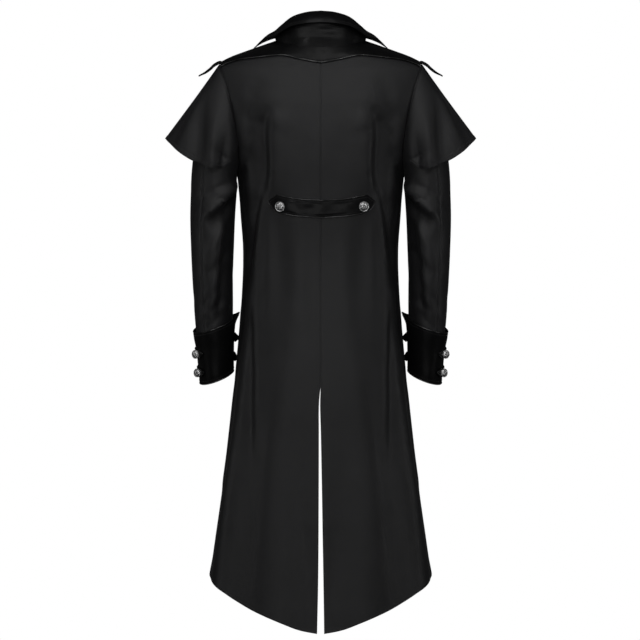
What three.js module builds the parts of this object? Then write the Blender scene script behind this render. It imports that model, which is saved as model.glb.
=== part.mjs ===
// A tailcoat, filled out as it is worn: hollow, open at neck, cuffs and hem. Millimetres, +Z up, front at -Y.
// The origin is the middle of the neck base, level with the inner ends of the shoulders.
import * as THREE from "three";

// Thickness of the cloth, the coated leather cloth, and the gap that is left at every seam.
const CLOTH = 2;
const LEATHER = 2;
const SEAM = 0.3;
const SIDE_GAP_DEG = 0.05;
// How far the left front is lifted where it laps over the right one.
const LAP = CLOTH + 3 * SEAM;

// The body of the coat at each height: half its width, its depth behind and before its middle,
// and how far back that middle lies.
const BODY = [
  { z: 14, side: 62, back: 46, front: 44, shift: 7 },
  { z: 0, side: 92, back: 57, front: 54, shift: 7 },
  { z: -8, side: 115, back: 63, front: 60, shift: 7 },
  { z: -20, side: 149, back: 72, front: 68, shift: 6 },
  { z: -33, side: 184, back: 80, front: 76, shift: 6 },
  { z: -45, side: 206, back: 87, front: 83, shift: 5 },
  { z: -61, side: 217, back: 94, front: 91, shift: 5 },
  { z: -94, side: 222, back: 104, front: 103, shift: 4 },
  { z: -133, side: 222, back: 112, front: 112, shift: 2 },
  { z: -189, side: 209, back: 116, front: 119, shift: 0 },
  { z: -230, side: 190, back: 115, front: 120, shift: -1 },
  { z: -268, side: 174, back: 112, front: 118, shift: -2 },
  { z: -303, side: 169, back: 108, front: 114, shift: -3 },
  { z: -361, side: 165, back: 101, front: 107, shift: -4 },
  { z: -426, side: 160, back: 97, front: 103, shift: -5 },
  { z: -492, side: 160.5, back: 99, front: 106, shift: -4 },
  { z: -590, side: 167.5, back: 108, front: 115, shift: -2 },
  { z: -689, side: 176, back: 118, front: 125, shift: 0 },
  { z: -832, side: 192.5, back: 130, front: 137, shift: 3 },
  { z: -1004, side: 216.5, back: 143, front: 149, shift: 6 },
  { z: -1100, side: 230, back: 150, front: 156, shift: 8 },
  { z: -1230, side: 249, back: 160, front: 166, shift: 10 },
];
// Sections are rounder than a box and fuller than an ellipse.
const SECTION_POWER = 2.3;

// Soft folds of the body, each along a line from one place round the body and height to another, cut inward.
const BODY_FOLDS = [
  { from_deg: 25, from_z: -150, to_deg: 48, to_z: -330, width: 16, depth: 5 },
  { from_deg: 48, from_z: -330, to_deg: 68, to_z: -500, width: 16, depth: 5 },
  { from_deg: 48, from_z: -350, to_deg: 54, to_z: -640, width: 22, depth: -3 },
  { from_deg: 54, from_z: -600, to_deg: 43, to_z: -860, width: 18, depth: 4 },
  { from_deg: 30, from_z: -700, to_deg: 27, to_z: -1230, width: 34, depth: -6 },
  { from_deg: 10, from_z: -800, to_deg: 12, to_z: -1230, width: 26, depth: 5 },
  { from_deg: 47, from_z: -800, to_deg: 46, to_z: -1200, width: 30, depth: 7 },
  { from_deg: 66, from_z: -640, to_deg: 65, to_z: -1180, width: 34, depth: -6 },
  { from_deg: 80, from_z: -560, to_deg: 82, to_z: -1100, width: 24, depth: 5 },
  { from_deg: 106, from_z: -300, to_deg: 122, to_z: -520, width: 20, depth: 5 },
];

// The seam between neck and collar. Past the side of the neck it runs down the front to the lapel's break.
const NECKLINE = [
  { around: 0, z: -15 },
  { around: 18, z: -12.5 },
  { around: 40, z: -6 },
  { around: 65, z: -2 },
  { around: 90, z: 0 },
  { around: 115, z: -3 },
  { around: 137.5, z: -10 },
  { around: 150, z: -19 },
  { around: 158.6, z: -30 },
  { around: 164, z: -46 },
  { around: 167.5, z: -66 },
  { around: 171.6, z: -104 },
  { around: 175, z: -144 },
  { around: 179.5, z: -175 },
  { around: 184.3, z: -190 },
];
// The front edge below the break: straight to the waist, then swept away to the corner of the tail.
const FRONT_EDGE = [
  { z: -190, around: 184.3 },
  { z: -290, around: 184.3 },
  { z: -420, around: 184 },
  { z: -455, around: 180 },
  { z: -500, around: 171 },
  { z: -580, around: 157 },
  { z: -680, around: 142 },
  { z: -800, around: 126 },
  { z: -940, around: 110 },
  { z: -1090, around: 97 },
];

// The armhole: its middle and half height, how far it cuts in behind and in front, and its roundness.
const ARMHOLE_MIDDLE = -156;
const ARMHOLE_HALF = 112;
const ARMHOLE_BACK_DEG = 37;
const ARMHOLE_FRONT_DEG = 39;
const ARMHOLE_POWER = 0.9;
// Steps round the armhole, in degrees from its top: the panels, the sleeve and the cape share these corners.
const ARMHOLE_STEP = 20;
const YOKE_BACK_TURN = 25.6;
const YOKE_FRONT_TURN = 40;

// The back edge of the yoke, with its dip in the middle.
const YOKE_EDGE = [
  { around: 0, z: -47 },
  { around: 9, z: -40 },
  { around: 22.7, z: -32 },
  { around: 43.7, z: -37.5 },
  { around: 54.2, z: -41 },
  { around: 72.6, z: -55 },
];
// Its front edge runs from this height at the neck to the armhole. Its corners are given along both.
const YOKE_NECK_Z = -30;
const YOKE_ARMHOLE = [YOKE_BACK_TURN, 20, 0, -20, -YOKE_FRONT_TURN];
const YOKE_NECK = [
  { share: 0, around: 0 },
  { share: 0.3, around: 20 },
  { share: 0.55, around: 46 },
  { share: 0.75, around: 76 },
  { share: 0.87, around: 108 },
  { share: 1, around: 158.6 },
];
const PIPING_WIDTH = 3.2;
const PIPING_SHARE = 0.985;
const PIPING_HEIGHT = 1.6;

// The hem of the tails, lowest at the vent, and the two edges of the vent.
const HEM_SIDE_Z = -1097;
const HEM = [
  { around: 0, z: -1213.6 },
  { around: 7.5, z: -1206 },
  { around: 15, z: -1194 },
  { around: 30, z: -1170 },
  { around: 45, z: -1147 },
  { around: 60, z: -1126 },
  { around: 75, z: -1107 },
  { around: 90, z: HEM_SIDE_Z },
  { around: 97, z: -1090 },
];
const VENT_TOP = -709;
const VENT = [
  { z: -709, left_x: 0.15, right_x: 0.15 },
  { z: -746, left_x: 3.4, right_x: -1.2 },
  { z: -803, left_x: 3.6, right_x: 0.3 },
  { z: -890, left_x: 3.8, right_x: 2 },
  { z: -1033, left_x: 4.4, right_x: 4.4 },
  { z: -1119, left_x: 5.3, right_x: 5.9 },
  { z: -1214, left_x: 7.3, right_x: 7.2 },
];

// The collar at stations along the neckline: the roll line, the leaf's outer edge, and how high it arches.
const COLLAR = [
  { around: 0, roll_x: 0, roll_y: 68, roll_z: 58.5, edge_x: 0, edge_y: 90, edge_z: 36, arch: 6 },
  { around: 11, roll_x: 28, roll_y: 67, roll_z: 56, edge_x: 30, edge_y: 89, edge_z: 34, arch: 6 },
  { around: 24, roll_x: 57, roll_y: 60, roll_z: 47.5, edge_x: 60, edge_y: 82, edge_z: 28, arch: 6 },
  { around: 44, roll_x: 80, roll_y: 42, roll_z: 31, edge_x: 82, edge_y: 66, edge_z: 16, arch: 6 },
  { around: 70, roll_x: 92, roll_y: 14, roll_z: 21, edge_x: 97, edge_y: 40, edge_z: 6, arch: 7 },
  { around: 95, roll_x: 98, roll_y: -12, roll_z: 15.5, edge_x: 112, edge_y: 16, edge_z: 4, arch: 9 },
  { around: 112, roll_x: 96, roll_y: -34, roll_z: 12.5, edge_x: 127, edge_y: -10, edge_z: -5, arch: 12 },
  { around: 126, roll_x: 90, roll_y: -54, roll_z: 8, edge_x: 139.5, edge_y: -38, edge_z: -15.5, arch: 16 },
];
// In front of the leaf the stand goes on alone and runs out at the lapel.
const STAND_FRONT = [
  { around: 138, roll_x: 85, roll_y: -62, roll_z: -4 },
  { around: 150, roll_x: 79, roll_y: -68, roll_z: -18 },
];
// The lapel, from its peak to the break: the roll line and the outer edge.
const LAPEL = [
  { around: 151.5, roll_x: 79, roll_y: -72, roll_z: -24, edge_x: 146, edge_y: -80, edge_z: -46 },
  { around: 161, roll_x: 74, roll_y: -88, roll_z: -44, edge_x: 146, edge_y: -94, edge_z: -76 },
  { around: 167.5, roll_x: 60, roll_y: -104, roll_z: -78, edge_x: 126, edge_y: -110, edge_z: -110 },
  { around: 171.6, roll_x: 45, roll_y: -114, roll_z: -110, edge_x: 96, edge_y: -121, edge_z: -142 },
  { around: 174.6, roll_x: 30, roll_y: -120, roll_z: -142, edge_x: 61, edge_y: -128, edge_z: -168 },
  { around: 177.2, roll_x: 16, roll_y: -124, roll_z: -168, edge_x: 26, edge_y: -131, edge_z: -188 },
];
const LAPEL_ARCH = 4;

// The arm at each height below the armpit: outer and inner side, middle and half depth front to back.
const SLEEVE_TOP_Z = -303;
const SLEEVE = [
  { z: -303, outer: 266.5, inner: 171.5, middle_y: 4, half_y: 66 },
  { z: -361, outer: 268, inner: 175.5, middle_y: 8, half_y: 62 },
  { z: -426, outer: 266.3, inner: 178, middle_y: 11, half_y: 58 },
  { z: -492, outer: 263, inner: 180, middle_y: 6, half_y: 55 },
  { z: -558, outer: 258.5, inner: 180, middle_y: -3, half_y: 52 },
  { z: -592, outer: 255, inner: 180.5, middle_y: -8, half_y: 51 },
  { z: -625, outer: 251, inner: 181.5, middle_y: -14, half_y: 50 },
  { z: -660, outer: 247.5, inner: 182, middle_y: -21, half_y: 49 },
  { z: -700, outer: 244.5, inner: 182.5, middle_y: -28, half_y: 48 },
];
const SLEEVE_END_Z = -606;
const SLEEVE_HIND_TURN = 60;
const SLEEVE_FORE_TURN = -120;
// The forearm turns: its rings drop toward the outer side and the back by these slopes.
const FOREARM_DROP_X = 0.36;
const FOREARM_DROP_Y = 0.2;
// Drag folds of the sleeve, round the arm and height.
const SLEEVE_FOLDS = [
  { from_deg: 165, from_z: -300, to_deg: 62, to_z: -372, width: 13, depth: -5 },
  { from_deg: 160, from_z: -320, to_deg: 75, to_z: -410, width: 14, depth: 4 },
  { from_deg: 120, from_z: -296, to_deg: 64, to_z: -322, width: 9, depth: 4 },
  { from_deg: 150, from_z: -400, to_deg: 100, to_z: -560, width: 16, depth: 3 },
  { from_deg: -150, from_z: -440, to_deg: -60, to_z: -470, width: 14, depth: 5 },
  { from_deg: -160, from_z: -480, to_deg: -70, to_z: -500, width: 13, depth: 4 },
];

// The shoulder cape's hem, by the turn round the armhole.
const CAPE_END_TURN = 122;
const CAPE_HEM = [
  { turn: 0, x: 319.5, y: 2, z: -201 },
  { turn: 18, x: 313, y: 30, z: -209 },
  { turn: 36, x: 296, y: 55, z: -225 },
  { turn: 54, x: 270, y: 74, z: -243 },
  { turn: 72, x: 243, y: 86, z: -255 },
  { turn: 90, x: 217, y: 89, z: -264 },
  { turn: 108, x: 198, y: 84, z: -264 },
  { turn: 122, x: 185, y: 76, z: -254 },
];
const CAPE_FOLDS = [
  { turn: 28, width: 10, depth: 5 },
  { turn: 45, width: 9, depth: -4 },
  { turn: 62, width: 9, depth: 7 },
  { turn: 80, width: 9, depth: -5 },
  { turn: 100, width: 9, depth: 5 },
];

// The shoulder tab, from the armhole seam outward.
const TAB = [
  { along: 0, x: 207.5, z: -40.4, half_width: 23 },
  { along: 0.28, x: 219, z: -46.9, half_width: 23 },
  { along: 0.5, x: 227.5, z: -54.9, half_width: 22 },
  { along: 0.75, x: 238.5, z: -63.9, half_width: 16 },
  { along: 1, x: 251.5, z: -71.9, half_width: 2 },
];
const TAB_THICKNESS = 3;
const TAB_SIDE_DROP = 4;
const TAB_SHIFT_Y = 3;

// The cuff lies over the end of the sleeve and flares a little to its top edge.
const CUFF_TOP_Z = -582;
const CUFF_HEM_Z = -690;
const CUFF_FLARE = 2;
const STRAP_THICKNESS = 2;
const STRAP_HALF_WIDTH = 8.5;
const STRAPS = [
  { name: "upper", z: -626, tip_lift: 7 },
  { name: "lower", z: -665, tip_lift: 4 },
];
// Each strap runs from its standing tip at the inner side, over the front, to the button at the outer back.
const STRAP_TIP_TURN = -190;
const STRAP_BUTTON_TURN = 22;
const STRAP_END_TURN = 50;
const STRAP_POINT_SHARE = 0.08;

// The half belt, whose ends are pointed: upper and lower edge at each distance from its middle.
const BELT_MIDDLE_X = -2.5;
const BELT_THICKNESS = 3;
const BELT = [
  { x: 0, top: -329, bottom: -364.5 },
  { x: 45, top: -326.3, bottom: -361.5 },
  { x: 78, top: -320.8, bottom: -356.3 },
  { x: 91, top: -318, bottom: -352 },
  { x: 100, top: -324, bottom: -346 },
  { x: 108.5, top: -331.2, bottom: -334.2 },
];
const BELT_BUTTON_X = 84.5;
const BELT_BUTTON_Z = -341;

const BELT_BUTTON_RADIUS = 10.5;
const CUFF_BUTTON_RADIUS = 9;
const FRONT_BUTTON_RADIUS = 10.5;
const FRONT_BUTTONS = 4;
const FRONT_BUTTON_TOP = -215;
const FRONT_BUTTON_STEP = 62;
// A button's profile, as shares of its radius, from the middle of its back round to the middle of its dome.
const BUTTON_PROFILE = [
  { radius: 0, height: 0 },
  { radius: 0.96, height: 0 },
  { radius: 1, height: 0.14 },
  { radius: 0.88, height: 0.26 },
  { radius: 0.76, height: 0.2 },
  { radius: 0.5, height: 0.42 },
  { radius: 0, height: 0.5 },
];
const BUTTON_SIDES = 14;

const material = (color, roughness, metalness) =>
  new THREE.MeshStandardMaterial({ color, roughness, metalness });
const clothMaterial = () => material(0x17171a, 0.7, 0);
const leatherMaterial = () => material(0x0c0c0e, 0.28, 0);
const silverMaterial = () => material(0xc9c9cd, 0.3, 1);

const radians = (degrees) => (degrees * Math.PI) / 180;
const mix = (a, b, share) => a + (b - a) * share;

function smoothstep(low, high, value) {
  const t = THREE.MathUtils.clamp((value - low) / (high - low), 0, 1);
  return t * t * (3 - 2 * t);
}

// Reads a column of a table at a key, along a smooth curve through its rows.
function read(table, keyName, columnName, key) {
  const rising = table[1][keyName] > table[0][keyName];
  const rows = rising ? table : [...table].reverse();
  const last = rows.length - 1;
  const at = THREE.MathUtils.clamp(key, rows[0][keyName], rows[last][keyName]);
  let i = 0;
  while (i < last - 1 && rows[i + 1][keyName] < at) {
    i += 1;
  }
  const slope = (k) => {
    const a = rows[Math.max(k - 1, 0)];
    const b = rows[Math.min(k + 1, last)];
    return (b[columnName] - a[columnName]) / (b[keyName] - a[keyName]);
  };
  const span = rows[i + 1][keyName] - rows[i][keyName];
  const t = (at - rows[i][keyName]) / span;
  const start = rows[i][columnName];
  const end = rows[i + 1][columnName];
  const curve = t * t * (3 - 2 * t);
  const lead = t * (1 - t) * (1 - t) * slope(i) * span;
  const trail = t * t * (t - 1) * slope(i + 1) * span;
  return start + (end - start) * curve + lead + trail;
}

// A fold is deepest in its middle: these are its least share of the depth, and where along it that is read.
const FOLD_LEAST = 0.35;
const FOLD_START = 0.08;
const FOLD_STOP = 0.85;

// The outward push of a list of folds at a place on a tube, which is about `round` millimetres a degree.
function foldPush(folds, degrees, z, round) {
  let push = 0;
  for (const fold of folds) {
    const alongX = (fold.to_deg - fold.from_deg) * round;
    const alongZ = fold.to_z - fold.from_z;
    const x = (degrees - fold.from_deg) * round;
    const length2 = alongX * alongX + alongZ * alongZ;
    const share = THREE.MathUtils.clamp((x * alongX + (z - fold.from_z) * alongZ) / length2, 0, 1);
    const away = Math.hypot(x - share * alongX, z - fold.from_z - share * alongZ);
    const swell = Math.sin(Math.PI * THREE.MathUtils.clamp(share, FOLD_START, FOLD_STOP));
    push -= fold.depth * mix(FOLD_LEAST, 1, swell) * Math.exp(-((away / fold.width) ** 2));
  }
  return push;
}

const rounded = (value) => Math.sign(value) * Math.abs(value) ** (2 / SECTION_POWER);

// A point of the body's outer face without its offset: degrees round from the middle of the back, and height.
function bodyBase(around, z) {
  const turn = radians(around);
  const depth = Math.cos(turn) > 0 ? "back" : "front";
  const side = read(BODY, "z", "side", z);
  const y = read(BODY, "z", "shift", z) + read(BODY, "z", depth, z) * rounded(Math.cos(turn));
  return new THREE.Vector3(side * rounded(Math.sin(turn)), y, z);
}

function acrossOf(surface, a, b, stepA, stepB) {
  const alongA = surface(a + stepA, b).sub(surface(a - stepA, b));
  const alongB = surface(a, b + stepB).sub(surface(a, b - stepB));
  return alongA.cross(alongB).normalize();
}

// The body's outer face with its folds, moved out.
const BODY_MM_PER_DEG = 2.6;
function body(around, z, out = 0) {
  const normal = acrossOf(bodyBase, around, z, 0.5, 1.5).negate();
  const near = THREE.MathUtils.clamp(Math.abs(around), 0, 180);
  const push = foldPush(BODY_FOLDS, near, z, BODY_MM_PER_DEG);
  return bodyBase(around, z).addScaledVector(normal, out + push);
}

// How far round the body a point of its face lies at a distance from the middle of the back.
function aroundAt(x, z) {
  const share = Math.min(1, Math.abs(x) / read(BODY, "z", "side", z));
  return (Math.sign(x) * Math.asin(share ** (SECTION_POWER / 2)) * 180) / Math.PI;
}

const neckZ = (around) => read(NECKLINE, "around", "z", Math.abs(around));

// The armhole's place on the body, by the turn from its top: positive behind, negative in front.
function armholePlace(turn) {
  const sine = Math.sin(radians(turn));
  const cut = Math.abs(sine) ** ARMHOLE_POWER * (sine > 0 ? -ARMHOLE_BACK_DEG : ARMHOLE_FRONT_DEG);
  return { around: 90 + cut, z: ARMHOLE_MIDDLE + ARMHOLE_HALF * Math.cos(radians(turn)) };
}

// A closed wall from a grid of places: each gives its point on the outer face and that on the inner face.
function wall(rows, columns, place, closed = false) {
  const positions = [];
  const width = closed ? columns : columns + 1;
  const count = (rows + 1) * width;
  const inner = [];
  for (let i = 0; i <= rows; i += 1) {
    for (let j = 0; j < width; j += 1) {
      const [outside, inside] = place(i, j);
      positions.push(outside.x, outside.y, outside.z);
      inner.push(inside.x, inside.y, inside.z);
    }
  }
  positions.push(...inner);
  const faces = [];
  const quad = (a, b, c, d) => faces.push(a, b, c, a, c, d);
  const at = (i, j) => i * width + (j % width);
  for (let i = 0; i < rows; i += 1) {
    for (let j = 0; j < columns; j += 1) {
      quad(at(i, j), at(i, j + 1), at(i + 1, j + 1), at(i + 1, j));
      quad(count + at(i, j), count + at(i + 1, j), count + at(i + 1, j + 1), count + at(i, j + 1));
    }
  }
  for (let j = 0; j < columns; j += 1) {
    quad(at(0, j), count + at(0, j), count + at(0, j + 1), at(0, j + 1));
    quad(at(rows, j + 1), count + at(rows, j + 1), count + at(rows, j), at(rows, j));
  }
  for (let i = 0; i < rows && !closed; i += 1) {
    quad(at(i + 1, 0), count + at(i + 1, 0), count + at(i, 0), at(i, 0));
    quad(count + at(i, columns), count + at(i + 1, columns), at(i + 1, columns), at(i, columns));
  }
  return facingOut(solid(positions, faces));
}

function solid(positions, faces) {
  const geometry = new THREE.BufferGeometry();
  geometry.setAttribute("position", new THREE.Float32BufferAttribute(positions, 3));
  geometry.setIndex(faces);
  return geometry;
}

function turnedRound(geometry) {
  const index = geometry.index.array;
  for (let i = 0; i < index.length; i += 3) {
    const second = index[i + 1];
    index[i + 1] = index[i + 2];
    index[i + 2] = second;
  }
  return geometry;
}

function facingOut(geometry) {
  const point = geometry.attributes.position;
  const index = geometry.index.array;
  const corner = (k) => new THREE.Vector3().fromBufferAttribute(point, index[k]);
  let volume = 0;
  for (let i = 0; i < index.length; i += 3) {
    volume += corner(i).dot(corner(i + 1).cross(corner(i + 2)));
  }
  return volume < 0 ? turnedRound(geometry) : geometry;
}

function mirrored(geometry) {
  return turnedRound(geometry.clone().applyMatrix4(new THREE.Matrix4().makeScale(-1, 1, 1)));
}

const coat = new THREE.Group();

function add(name, geometry, finish) {
  const mesh = new THREE.Mesh(geometry, finish);
  mesh.name = name;
  coat.add(mesh);
  return mesh;
}

// Adds a piece for the wearer's left, on +X, and its mirror image for the right.
function addPair(name, geometry, finish) {
  add(name + "_left", geometry, finish());
  add(name + "_right", mirrored(geometry), finish());
}

// A piece of the body's own surface: the outer face, and the inner face a cloth's thickness inside it.
function onBody(around, z, out, thickness) {
  return [body(around, z, out), body(around, z, out - thickness)];
}

// The rows of a panel at its side edge: the armhole's corners down to the armpit, then even steps to the hem.
function sideEdge(firstTurn, sign, lowerRows) {
  const places = [armholePlace(sign * firstTurn)];
  const start = Math.ceil((firstTurn + 1) / ARMHOLE_STEP) * ARMHOLE_STEP;
  for (let turn = start; turn <= 180; turn += ARMHOLE_STEP) {
    places.push(armholePlace(sign * turn));
  }
  const armpit = places.length - 1;
  const low = places[armpit].z;
  for (let i = 1; i <= lowerRows; i += 1) {
    places.push({ around: 90, z: mix(low, HEM_SIDE_Z, i / lowerRows) });
  }
  return { places, armpit };
}

// One half of the back, from the centre seam and the vent to the armhole and the side seam.
const BACK_COLUMNS = 12;
const BACK_LOWER_ROWS = 19;
function backPanel(ventColumn) {
  const { places, armpit } = sideEdge(YOKE_BACK_TURN, 1, BACK_LOWER_ROWS);
  const last = places.length - 1;
  return wall(last, BACK_COLUMNS, (i, j) => {
    const share = j / BACK_COLUMNS;
    const side = places[i];
    const top = read(YOKE_EDGE, "around", "z", share * places[0].around) - SEAM;
    const rise = (top - places[0].z) * (1 - smoothstep(0, armpit, i));
    const fall = (read(HEM, "around", "z", share * 90) - HEM_SIDE_Z) * smoothstep(armpit, last, i);
    const z = side.z + rise + fall;
    const edge = z < VENT_TOP ? read(VENT, "z", ventColumn, z) : SEAM / 2;
    return onBody(mix(aroundAt(edge, z), side.around - SIDE_GAP_DEG, share), z, 0, CLOTH);
  });
}

// One front, from the armhole and side seam to the neckline, the closing edge and the sweep down to the tail.
const FRONT_COLUMNS = 12;
const FRONT_NECKLINE = NECKLINE.filter((row) => row.around >= 90);
function frontEdgeAround(z) {
  return z < FRONT_EDGE[0].z ? read(FRONT_EDGE, "z", "around", z) : read(FRONT_NECKLINE, "z", "around", z);
}

const FRONT_LOWER_ROWS = 15;
// Where the fronts overlap the upper one is lifted, and it eases down to the body beside and above that.
const lapShare = (around, z) => smoothstep(158, 172, around) * smoothstep(-90, -140, z);

function frontPanel(lap) {
  const corner = read(HEM, "around", "z", 97) - HEM_SIDE_Z;
  const { places, armpit } = sideEdge(YOKE_FRONT_TURN, -1, FRONT_LOWER_ROWS);
  const last = places.length - 1;
  return wall(last, FRONT_COLUMNS, (i, j) => {
    const share = j / FRONT_COLUMNS;
    const side = places[i];
    const seam = i === 0 ? SEAM : 0;
    const rise = (YOKE_NECK_Z - places[0].z) * (1 - smoothstep(0, armpit, i));
    const edgeZ = side.z + rise + corner * smoothstep(armpit, last, i) - seam;
    const z = mix(side.z - seam, edgeZ, share);
    const around = mix(side.around + SIDE_GAP_DEG, frontEdgeAround(edgeZ), share);
    return onBody(around, z, lap * lapShare(around, z), CLOTH);
  });
}

// The yoke covers the shoulders, from the neck to the panels behind and in front.
function yoke() {
  const half = BACK_COLUMNS + YOKE_ARMHOLE.length - 1;
  const rows = 5;
  return wall(rows, 2 * half, (i, j) => {
    const step = Math.abs(j - half);
    const sign = j < half ? -1 : 1;
    const backEnd = armholePlace(YOKE_BACK_TURN).around;
    const behind = (step / BACK_COLUMNS) * backEnd;
    const outer =
      step <= BACK_COLUMNS
        ? { around: behind, z: read(YOKE_EDGE, "around", "z", behind) }
        : armholePlace(YOKE_ARMHOLE[step - BACK_COLUMNS]);
    const neck = read(YOKE_NECK, "share", "around", step / half);
    const share = i / rows;
    return onBody(sign * mix(neck, outer.around, share), mix(neckZ(neck), outer.z, share), 0, LEATHER);
  });
}

function yokePiping() {
  const end = armholePlace(YOKE_BACK_TURN).around;
  const columns = 2 * BACK_COLUMNS;
  return wall(1, columns, (i, j) => {
    const around = mix(-end, end, j / columns) * PIPING_SHARE;
    const z = read(YOKE_EDGE, "around", "z", Math.abs(around)) + PIPING_WIDTH * (0.5 - i);
    return onBody(around, z, SEAM + PIPING_HEIGHT, PIPING_HEIGHT);
  });
}

function rollOrEdge(table, around, kind) {
  const near = Math.abs(around);
  const sign = around < 0 ? -1 : 1;
  const column = (axis) => read(table, "around", `${kind}_${axis}`, near);
  return new THREE.Vector3(sign * column("x"), column("y"), column("z"));
}

// Columns are spread along the neck more evenly than the angle round the body is.
const STAND_SPREAD = [
  { share: 0, around: 0 },
  { share: 0.22, around: 22 },
  { share: 0.44, around: 48 },
  { share: 0.63, around: 82 },
  { share: 0.8, around: 117 },
  { share: 1, around: 150 },
];
const LEAF_SPREAD = [
  { share: 0, around: 0 },
  { share: 0.22, around: 18 },
  { share: 0.45, around: 42 },
  { share: 0.7, around: 78 },
  { share: 1, around: 126 },
];
const LAPEL_SPREAD = [
  { share: 0, around: 151.5 },
  { share: 0.3, around: 165 },
  { share: 0.65, around: 172.2 },
  { share: 1, around: 177.2 },
];
const STAND_COLUMNS = 30;
const LEAF_COLUMNS = 28;
const LAPEL_COLUMNS = 10;
const NECK_LIFT = 1;
const ROLL_GAP = 3.4;

function spreadBothWays(table, j, columns) {
  const share = (2 * j) / columns - 1;
  return Math.sign(share) * read(table, "share", "around", Math.abs(share));
}

// The wall of a surface that is given by two shares, its thickness on the side away from the cross product.
function onSurface(surface, a, b, thickness, face) {
  const normal = acrossOf(surface, a, b, 0.4, 0.02).multiplyScalar(face);
  const outside = surface(a, b);
  return [outside, outside.clone().addScaledVector(normal, -thickness)];
}

function neckPoint(around) {
  const z = neckZ(around);
  return body(around, z, NECK_LIFT + LAP * lapShare(around, z));
}

// The stand leaves the neck upright and leans out to the roll line.
function standSurface(around, share) {
  const base = neckPoint(around);
  const roll = rollOrEdge([...COLLAR, ...STAND_FRONT], around, "roll");
  const length = base.distanceTo(roll);
  const top = base.clone().lerp(roll, 1 - ROLL_GAP / length);
  const upright = new THREE.Vector3(base.x, base.y, mix(base.z, top.z, 0.6)).lerp(top, 0.25);
  return new THREE.QuadraticBezierCurve3(base, upright, top).getPoint(share);
}

// How the leaf of a collar crosses from its roll line to its edge, arched away from the neck.
function arched(roll, edge, neck, arch) {
  const across = edge.clone().sub(roll);
  const away = roll.clone().sub(neck);
  const up = away.addScaledVector(across, -away.dot(across) / across.lengthSq()).normalize();
  return roll.clone().addScaledVector(across, 0.45).addScaledVector(up, arch);
}

function leafSurface(around, share) {
  const roll = rollOrEdge(COLLAR, around, "roll");
  const edge = rollOrEdge(COLLAR, around, "edge");
  const top = arched(roll, edge, neckPoint(around), read(COLLAR, "around", "arch", Math.abs(around)));
  const start = roll.clone().addScaledVector(edge.clone().sub(roll).normalize(), -CLOTH);
  return new THREE.QuadraticBezierCurve3(start, top, edge).getPoint(share);
}

// The lapel rises from the front's edge to its roll line and turns back over the chest.
function lapelSurface(around, share) {
  const neck = neckPoint(around);
  const roll = rollOrEdge(LAPEL, around, "roll");
  const edge = rollOrEdge(LAPEL, around, "edge");
  const top = arched(roll, edge, neck, LAPEL_ARCH);
  return new THREE.CatmullRomCurve3([neck, roll, top, edge]).getPoint(THREE.MathUtils.clamp(share, 0, 1));
}

function collarStand() {
  const rows = 3;
  return wall(rows, STAND_COLUMNS, (i, j) => {
    const around = spreadBothWays(STAND_SPREAD, j, STAND_COLUMNS);
    return onSurface(standSurface, around, i / rows, LEATHER, -1);
  });
}

function collarLeaf() {
  const rows = 4;
  return wall(rows, LEAF_COLUMNS, (i, j) => {
    const around = spreadBothWays(LEAF_SPREAD, j, LEAF_COLUMNS);
    return onSurface(leafSurface, around, i / rows, LEATHER, 1);
  });
}

function lapel() {
  const rows = 7;
  return wall(rows, LAPEL_COLUMNS, (i, j) => {
    const around = read(LAPEL_SPREAD, "share", "around", j / LAPEL_COLUMNS);
    return onSurface(lapelSurface, around, THREE.MathUtils.clamp(i / rows, 0.01, 0.99), CLOTH, 1);
  });
}

// A point of the arm below the armpit: degrees round from its outer side toward the back, and nominal height.
function armPoint(turn, z, out = 0) {
  const outer = read(SLEEVE, "z", "outer", z) + out;
  const inner = read(SLEEVE, "z", "inner", z) - out;
  const x = ((outer - inner) / 2) * Math.cos(radians(turn));
  const y = (read(SLEEVE, "z", "half_y", z) + out) * Math.sin(radians(turn));
  const bend = smoothstep(-400, -600, z);
  const drop = bend * (FOREARM_DROP_X * x + FOREARM_DROP_Y * y);
  return new THREE.Vector3((outer + inner) / 2 + x, read(SLEEVE, "z", "middle_y", z) + y, z - drop);
}

const ARMHOLE_GAP = SEAM + 0.2;
function armholePoint(turn, out = 0) {
  const place = armholePlace(turn);
  return body(place.around, place.z, out).add(new THREE.Vector3(ARMHOLE_GAP, 0, 0));
}

// The sleeve's outer face: stages 0 to 1 run from the armhole to the armpit's level, 1 to 2 down the arm.
const HEAD_STRETCH = 0.85;
function sleeveBase(turn, stage) {
  if (stage >= 1) return armPoint(turn, mix(SLEEVE_TOP_Z, SLEEVE_END_Z, stage - 1));
  const start = armholePoint(turn);
  const end = armPoint(turn, SLEEVE_TOP_Z);
  const upper = (1 + Math.cos(radians(turn))) / 2;
  const away = new THREE.Vector3(0.12 + 0.36 * upper, 0.22 * Math.sin(radians(turn)), -1 + 0.2 * upper);
  const reach = start.distanceTo(end) * HEAD_STRETCH;
  const first = start.clone().addScaledVector(away.normalize(), reach / 3);
  const second = end.clone().add(new THREE.Vector3(0, 0, reach / 3));
  return new THREE.CubicBezierCurve3(start, first, second, end).getPoint(stage);
}

function sleeve(turn, stage, out = 0) {
  const normal = acrossOf(sleeveBase, turn, Math.max(stage, 0.02), 1, 0.01).negate();
  const wrapped = turn > 180 ? turn - 360 : turn;
  const z = sleeveBase(turn, stage).z;
  const fade = smoothstep(0.5, 0.8, stage) * smoothstep(2, 1.85, stage);
  const push = foldPush(SLEEVE_FOLDS, wrapped, z, 1) * fade;
  return sleeveBase(turn, stage).addScaledVector(normal, out + push);
}

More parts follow.
